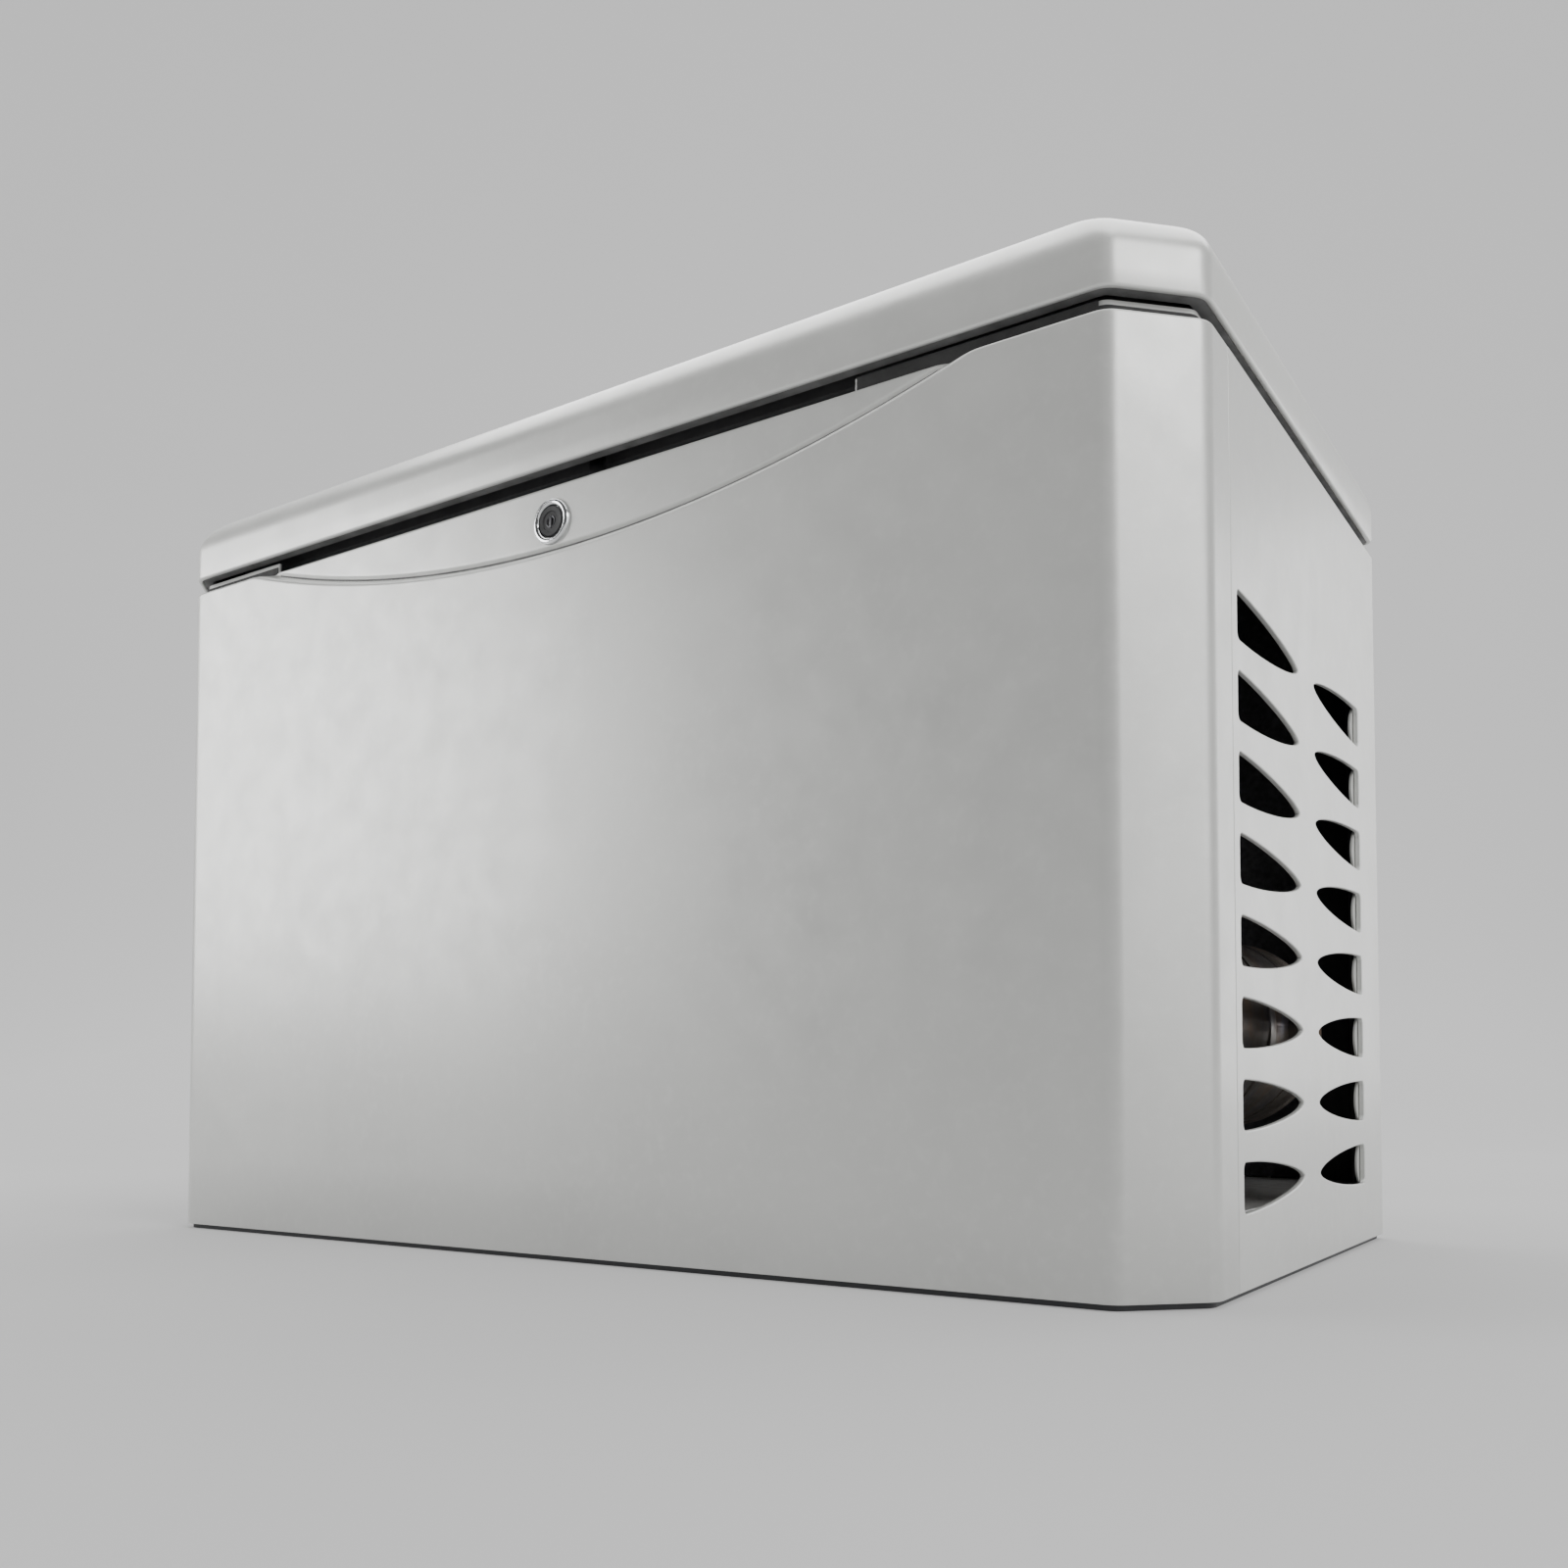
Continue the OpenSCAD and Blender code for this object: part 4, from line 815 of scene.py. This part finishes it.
def bolts():
    """Screws, nuts and clamps that hold the engine, alternator and controls."""
    hardware = Build()
    for side in (-1, 1):
        frame_of_bank = bank(side)
        up = frame_of_bank.to_3x3() @ Vector((0, 0, 1))
        for x in (-0.043, 0.043):
            for y in (-0.039, 0.039):
                hardware.screw(frame_of_bank @ Vector((x, y, 0.244)), up, 0.0042)
        hardware.screw((0.150, side * 0.150, 0.068), (0, 0, 1), 0.006)
    for y, z in around(8, 0.154, 22.5):
        hardware.screw((0.300, y, SHAFT_Z + z), (1, 0, 0), 0.0035)
    for y, z in around(8, 0.124, 22.5):
        hardware.screw((-0.345, y, SHAFT_Z + z), (-1, 0, 0), 0.0045)
    for x, z in around(8, 0.060, 22.5):
        hardware.screw((-0.120 + x, 0.253, 0.450 + z), (0, -1, 0), 0.003, "round")
    for y in (-0.201, -0.185):
        hardware.screw((0.104, y, 0.240), (1, 0, 0), 0.0035)
    turned = face_frame()
    out = turned.to_3x3() @ Vector((0, -1, 0))
    for x in (-0.087, 0.087):
        for z in (0.014, 0.162):
            hardware.screw(turned @ Vector((x, -0.003, z)), out, 0.003, "round")
    for x in (-0.018, 0.018):
        for z in (-0.034, 0.034):
            hardware.screw((FACE_X + x, -0.279, 0.492 + z), (0, -1, 0), 0.003, "round")
    for at, axis in (((-0.120, 0.282, 0.322), (0, 0, 1)), ((-0.120, 0.203, 0.450), (0, 1, 0)),
                     ((0.036, 0.0, 0.472), (1, 0, 0)), ((-0.200, 0.262, 0.110), (0, 1, 0))):
        hardware.lathe([(0.0121, 0.0), (0.0134, 0.0006), (0.0134, 0.0084), (0.0121, 0.009)],
                       at, axis, 40, closed=True)
    for x in (-0.532, -0.376):
        hardware.block((x - 0.008, -0.144, 0.2002), (x + 0.008, -0.118, 0.2030), 0.0008)
        hardware.screw((x, -0.141, 0.2030), (0, 0, 1), 0.003)
    for side in (-1, 1):
        for y in (-0.122, 0.122):
            hardware.screw((side * 0.5735, y, 0.045), (0, 0, 1), 0.0045)
        for x in (-0.030, 0.030):
            hardware.screw((side * HINGE_X + x, HINGE_SCREW_Y, 0.709), (0, 1, 0), 0.003, "round")
    hardware.make("engine_fasteners", ZINC, "chassis", "zinc_hardware")
    lid_screws = Build()
    for side in (-1, 1):
        for x in (-0.030, 0.030):
            lid_screws.screw((side * HINGE_X + x, HINGE_SCREW_Y, 0.765), (0, 1, 0), 0.003, "round")
    lid_screws.make("lid_hinge_screws", ZINC, "lid", "zinc_hardware")


def ignition():
    """Spark plug boots, their leads, the two coils and the alternator's loom."""
    rubber_parts, coils = Build(), Build()
    for side in (-1, 1):
        frame_of_bank = bank(side)
        spark = frame_of_bank @ Vector((-0.074, 0.0, 0.216))
        rubber_parts.lathe([(0.0075, 0.0), (0.0098, 0.001), (0.0098, 0.006), (0.0086, 0.0075),
                            (0.0086, 0.024), (0.0060, 0.030), (0.0045, 0.0335)],
                           spark, (-1, 0, 0), 28)
        end = spark + Vector((-0.032, 0.0, 0.0))
        rubber_parts.tube([end, end + Vector((-0.012, -side * 0.004, 0.006)),
                           (-0.036, side * 0.122, 0.425), (0.000, side * 0.100, 0.445),
                           (0.080, side * 0.094, 0.448), (0.150, side * 0.086, 0.430),
                           (0.186, side * 0.080, 0.405), (0.196, side * 0.075, 0.396)], 0.0035, 10)
        y = side * 0.075
        coils.block((0.196, y - 0.016, 0.370), (0.232, y + 0.016, 0.404), 0.003)
        coils.block((0.204, y - 0.022, 0.374), (0.224, y + 0.022, 0.382), 0.001)
    rubber_parts.tube([(-0.355, -0.150, 0.470), (-0.330, -0.146, 0.462), (-0.270, -0.110, 0.420),
                       (-0.200, -0.050, 0.396), (-0.160, -0.012, 0.386), (-0.146, 0.0, 0.384)],
                      0.006, 12)
    coils.block((-0.150, -0.032, 0.364), (-0.076, 0.032, 0.398), 0.003)
    for x in (-0.142, -0.084):
        for y in (-0.024, 0.024):
            coils.screw((x, y, 0.398), (0, 0, 1), 0.0025, "round")
    rubber_parts.make("ignition_leads", RUBBER, "chassis", "cable_rubber")
    coils.make("ignition_coils", BLACK, "chassis", "moulded_black")


def alternator_windings():
    """Copper end windings at both ends of the stator core."""
    coils = Build()
    for x in (-0.311, -0.0935):
        section = [(0.104, 0.0), (0.1225, 0.0015), (0.1225, 0.016), (0.118, 0.0195),
                   (0.108, 0.0195), (0.104, 0.016)]
        coils.lathe(section, (x, 0.0, SHAFT_Z), (1, 0, 0), 72, closed=True)
    coils.make("end_windings", COPPER, "chassis", "copper_winding")


def engine_trim():
    """Filter cover panel and knob, intake guard rings, oil filter end and starter bands."""
    black = Build()
    black.block((0.018, -0.067, 0.5825), (0.202, 0.067, 0.5862), 0.0016)
    black.lathe([(0.0001, 0.0), (0.016, 0.0), (0.018, 0.002), (0.018, 0.011), (0.015, 0.014),
                 (0.0001, 0.0145)], (0.110, 0.0, 0.5862), (0, 0, 1), 10)
    for y in (-0.0968, 0.0918):
        for x in (0.045, 0.160):
            black.block((x, y, 0.506), (x + 0.022, y + 0.005, 0.545), 0.0012)
    black.lathe([(0.0340, 0.014), (0.0376, 0.013), (0.0376, -0.001), (0.034, -0.003),
                 (0.0001, -0.003), (0.0001, 0.014)], (0.100, -0.209, 0.126), (0, 1, 0), 15)
    black.make("engine_black_trim", BLACK, "chassis", "moulded_black")
    bright = Build()
    for r in (0.030, 0.054, 0.078, 0.104, 0.128):
        bright.lathe([(r, 0.0), (r + 0.0025, 0.0002), (r + 0.0025, 0.0026), (r, 0.0026)],
                     (0.3002, 0.0, SHAFT_Z), (1, 0, 0), 64, closed=True)
    for x in (0.014, 0.110):
        bright.lathe([(0.0381, 0.0), (0.0394, 0.0006), (0.0394, 0.0084), (0.0381, 0.009)],
                     (x, -0.163, 0.210), (1, 0, 0), 56, closed=True)
    bright.make("guard_rings", ZINC, "chassis", "zinc_hardware")


def muffler_straps():
    """Bands and end beads on the muffler, and nuts on the exhaust ports."""
    straps = Build()
    for y in (-0.150, 0.010, 0.130):
        straps.lathe([(0.0921, 0.0), (0.0936, 0.0004), (0.0936, 0.0176), (0.0921, 0.018)],
                     (MUFFLER_X, y, MUFFLER_Z), (0, 1, 0), 80, closed=True)
    for y in (-0.196, 0.190):
        straps.lathe([(0.0915, 0.0), (0.0946, 0.0015), (0.0946, 0.0045), (0.0915, 0.006)],
                     (MUFFLER_X, y, MUFFLER_Z), (0, 1, 0), 80, closed=True)
    for side in (-1, 1):
        straps.lathe([(0.0176, 0.0), (0.031, 0.0), (0.031, 0.004), (0.0176, 0.004)],
                     (0.170, side * 0.1499, 0.3849), (1, 0, 0), 6, closed=True)
    straps.make("exhaust_straps", HOT, "chassis", "hot_steel")


def control_details():
    """Button bezels, display frame, lamps and battery fittings."""
    turned = face_frame()
    out = turned.to_3x3() @ Vector((0, -1, 0))
    bezel = Build()
    for x in (-0.064, -0.022, 0.020):
        bezel.lathe([(0.0102, 0.0), (0.0135, 0.0), (0.0132, 0.0012), (0.0122, 0.0018),
                     (0.0106, 0.0014)],
                    turned @ Vector((x, FACE_SKIN, KEY_ROW)), out, 48, closed=True)
    frame_rings = []
    for grow, lift in ((0.0002, 0.0), (0.0002, 0.0016), (0.0022, 0.0022), (0.0046, 0.0016),
                       (0.0052, 0.0)):
        outline = round_rect(-0.068 - grow, 0.073 - grow, 0.024 + grow, 0.119 + grow,
                             0.002 + grow, 4)
        frame_rings.append([turned @ Vector((x, FACE_SKIN - lift, z)) for x, z in outline])
    bezel.loft(frame_rings, closed=True)
    bezel.make("control_bezels", GREY, "chassis", "grey_key")
    for name, material, slot, x in (("lamp_red", RED, "red_key", 0.058),
                                    ("lamp_yellow", YELLOW, "yellow_handle", 0.070),
                                    ("lamp_green", GREEN, "green_key", 0.082)):
        lamp = Build().lathe([(0.0028, 0.0), (0.0027, 0.0010), (0.0020, 0.0019), (0.0001, 0.0023)],
                             turned @ Vector((x, FACE_SKIN, KEY_ROW)), out, 24)
        lamp.make(name, material, "chassis", slot)
    caps = Build()
    for x in (-0.515, -0.497, -0.479, -0.438, -0.420, -0.402):
        caps.lathe([(0.0070, 0.0), (0.0072, 0.0016), (0.0062, 0.0024), (0.0048, 0.0016),
                    (0.0001, 0.0016)], (x, -0.191, 0.1899), (0, 0, 1), 24)
    sleeve = [(0.0105, 0.0), (0.0115, 0.001), (0.0100, 0.014), (0.0072, 0.022), (0.0063, 0.022),
              (0.0063, 0.004)]
    caps.lathe(sleeve, (-0.532, -0.131, 0.2032), (0, 0, 1), 28, closed=True)
    caps.make("battery_caps", BATTERY, "chassis", "battery_plastic")
    boot = Build().lathe(sleeve, (-0.376, -0.131, 0.2032), (0, 0, 1), 28, closed=True)
    boot.make("battery_boot", RED_RUBBER, "chassis", "cable_rubber")


def lining_clips():
    """Push clips that hold the acoustic linings."""
    profile = [(0.0001, 0.0022), (0.006, 0.0020), (0.0105, 0.0008), (0.011, -0.0004),
               (0.0001, -0.0004)]
    front, top = Build(), Build()
    for x in (-0.48, -0.24, 0.0, 0.24, 0.48):
        for z in (0.085, 0.340, 0.595):
            front.lathe(profile, (x, -0.303, z), (0, 1, 0), 24)
        for y in (-0.19, 0.19):
            top.lathe(profile, (x, y, 0.798), (0, 0, -1), 24)
    front.make("front_lining_clips", BLACK, "front_cover", "moulded_black")
    top.make("roof_lining_clips", BLACK, "lid", "moulded_black")


# ---------- carried-over CAD nodes ----------

FINISHES = {
    "base_tray": DARK, "corner_posts": DARK, "gutter_rim": SHELL, "lid_gasket": GASKET,
    "muffler_bulkhead": BAY_SHEET, "frame_hinge_leaves": DARK, "hinge_pins": ZINC,
    "rubber_isolators": RUBBER, "crankcase": ALLOY, "cylinder_barrels": ALLOY,
    "cylinder_heads": ALLOY, "rocker_covers": ENAMEL, "blower_housing": ENAMEL,
    "air_cleaner_base": BLACK, "filter_element": PAPER, "air_cleaner_cover": BLACK,
    "intake_manifold": ALLOY, "gas_regulator": ALLOY, "fuel_hoses": RUBBER, "fuel_inlet": BRASS,
    "starter_motor": ENAMEL, "oil_filter": FILTER_PAINT, "spark_plugs": PORCELAIN,
    "exhaust_pipes": HOT, "muffler": HOT, "stator_can": ALLOY, "stator_core": COPPER,
    "end_bracket": ALLOY, "battery_case": BATTERY, "battery_terminals": LEAD,
    "battery_strap": RUBBER, "battery_cables": RED_RUBBER, "control_box": DARK,
    "control_face": BLACK, "display_window": GLASS, "circuit_board": BOARD,
    "breaker_body": BLACK, "conduit_bushing": BLACK, "panel_screws": ZINC,
    "roof_lining": FOAM, "roof_hinge_leaves": DARK, "lock_striker": BLACK_ZINC,
    "front_lining": FOAM, "crankshaft": SHAFT, "flywheel_fan": ALLOY,
    "alternator_rotor": COPPER, "oil_dipstick": YELLOW, "oil_fill_cap": YELLOW,
    "breaker_toggle": BLACK, "off_button": RED, "auto_button": GREEN, "run_button": GREY,
    "menu_rocker": GREY,
}

# Nodes too fine for the ordinary edge rounding.
SMALL = ("circuit_board", "control_box", "control_face", "breaker_body", "breaker_toggle",
         "menu_rocker", "display_window", "off_button", "auto_button", "run_button",
         "spark_plugs", "panel_screws", "hinge_pins", "oil_fill_cap")


def soften(obj):
    """Smooth shading with small rounded edges, through modifiers only."""
    mesh = obj.data
    mesh.polygons.foreach_set("use_smooth", [True] * len(mesh.polygons))
    mesh.set_sharp_from_angle(angle=math.radians(32))
    weld = obj.modifiers.new("weld", "WELD")
    weld.merge_threshold = 0.00001
    flat = obj.modifiers.new("flat", "DECIMATE")
    flat.decimate_type = "DISSOLVE"
    flat.angle_limit = math.radians(0.5)
    bevel = obj.modifiers.new("edges", "BEVEL")
    bevel.width = 0.0004 if obj.name in SMALL else 0.0012
    bevel.segments = 2
    bevel.limit_method = "ANGLE"
    bevel.angle_limit = math.radians(35)
    bevel.harden_normals = True


def finish_cad():
    """Materials and rounded edges on the CAD nodes that stay on show."""
    for name, material in FINISHES.items():
        obj = CAD[name]
        obj.data.materials.clear()
        obj.data.materials.append(material)
        soften(obj)


# ---------- stage ----------

def glowing(name, near, far, share):
    """Backdrop grey with a level of its own that rises away from the object, so it stays even."""
    s = Shader(name, (share, share, share), 0.95)
    s.tint(s.noise(2.0, 2), shade(s.color, 0.97))
    s.base.inputs["Specular IOR Level"].default_value = 0.1
    s.base.inputs["Emission Color"].default_value = (1, 1, 1, 1)
    length = s.nodes.new("ShaderNodeVectorMath")
    length.operation = "LENGTH"
    s.links.new(s.coords, length.inputs[0])
    s.links.new(s.spread(length.outputs["Value"], near, far, 0.8, 3.6),
                s.base.inputs["Emission Strength"])
    return s.material


def stage():
    """Pale floor that curves up into the backdrop."""
    sweep, wall, radius = 24.0, 4.2, 2.4
    line = [(-sweep, 0.0)] + [(wall - radius + radius * math.sin(a), radius - radius * math.cos(a))
                              for a in quarter(24)] + [(wall, 7.0)]
    turn = Matrix.Rotation(math.radians(33), 3, "Z")
    rows = [[turn @ Vector((x, y, z - 0.0002)) for y, z in line] for x in (-sweep, sweep)]
    count = len(line)
    mesh = bpy.data.meshes.new("backdrop")
    mesh.from_pydata([tuple(p) for row in rows for p in row], [],
                     [(k, k + 1, count + k + 1, count + k) for k in range(count - 1)])
    for face in mesh.polygons:
        face.use_smooth = True
    obj = bpy.data.objects.new("backdrop", mesh)
    bpy.context.scene.collection.objects.link(obj)
    mesh.materials.append(glowing("backdrop_grey", 0.29, 0.60, 0.32))


def softbox(name, at, look, size, level):
    """Area light whose surface shines at the given level."""
    light = bpy.data.lights.new(name, "AREA")
    light.shape = "RECTANGLE"
    light.size, light.size_y = size
    light.energy = level * math.pi * size[0] * size[1]
    obj = bpy.data.objects.new(name, light)
    obj.location = at
    obj.rotation_euler = (Vector(look) - Vector(at)).to_track_quat("-Z", "Y").to_euler()
    bpy.context.scene.collection.objects.link(obj)


def lights():
    """Faint even world and five soft boxes."""
    world = bpy.data.worlds.new("studio")
    world.use_nodes = True
    world.node_tree.nodes["Background"].inputs["Color"].default_value = (1, 1, 1, 1)
    world.node_tree.nodes["Background"].inputs["Strength"].default_value = 0.12
    bpy.context.scene.world = world
    softbox("left_front", (-2.5, -1.9, 1.15), (-0.4, -0.3, 0.5), (1.5, 1.5), 7.0)
    softbox("overhead", (-0.2, 0.45, 2.7), (-0.2, 0.45, 0.0), (3.6, 2.8), 4.0)
    softbox("right_side", (3.0, -0.6, 1.0), (0.6, -0.1, 0.5), (1.6, 1.4), 2.9)
    softbox("right_high", (2.9, -1.0, 2.3), (0.6, -0.2, 0.7), (1.6, 0.9), 9.0)
    softbox("right_back", (1.7, 2.6, 0.9), (0.6, 0.0, 0.4), (1.2, 1.6), 2.0)


def camera():
    """Low three-quarter view from the right front, set by the enclosure's size."""
    data = bpy.data.cameras.new("camera")
    data.sensor_width = 36.0
    data.lens = 32.6
    data.shift_y = 0.157
    data.clip_end = 60.0
    obj = bpy.data.objects.new("camera", data)
    obj.location = (HALF_L + 0.309, -HALF_D - 0.975, 0.161)
    obj.rotation_euler = (math.radians(90 + 2.26), 0, math.radians(33.66))
    bpy.context.scene.collection.objects.link(obj)
    bpy.context.scene.camera = obj


camera()
stage()
lights()
finish_cad()
front_panel()
lid()
end_panel("right_vent_shell", "right_end_panel", False)
end_panel("left_vent_shell", "left_end_panel", True)
rear_panel()
vent_lips()
dark_interior()
lock()
bolts()
ignition()
alternator_windings()
engine_trim()
muffler_straps()
control_details()
lining_clips()
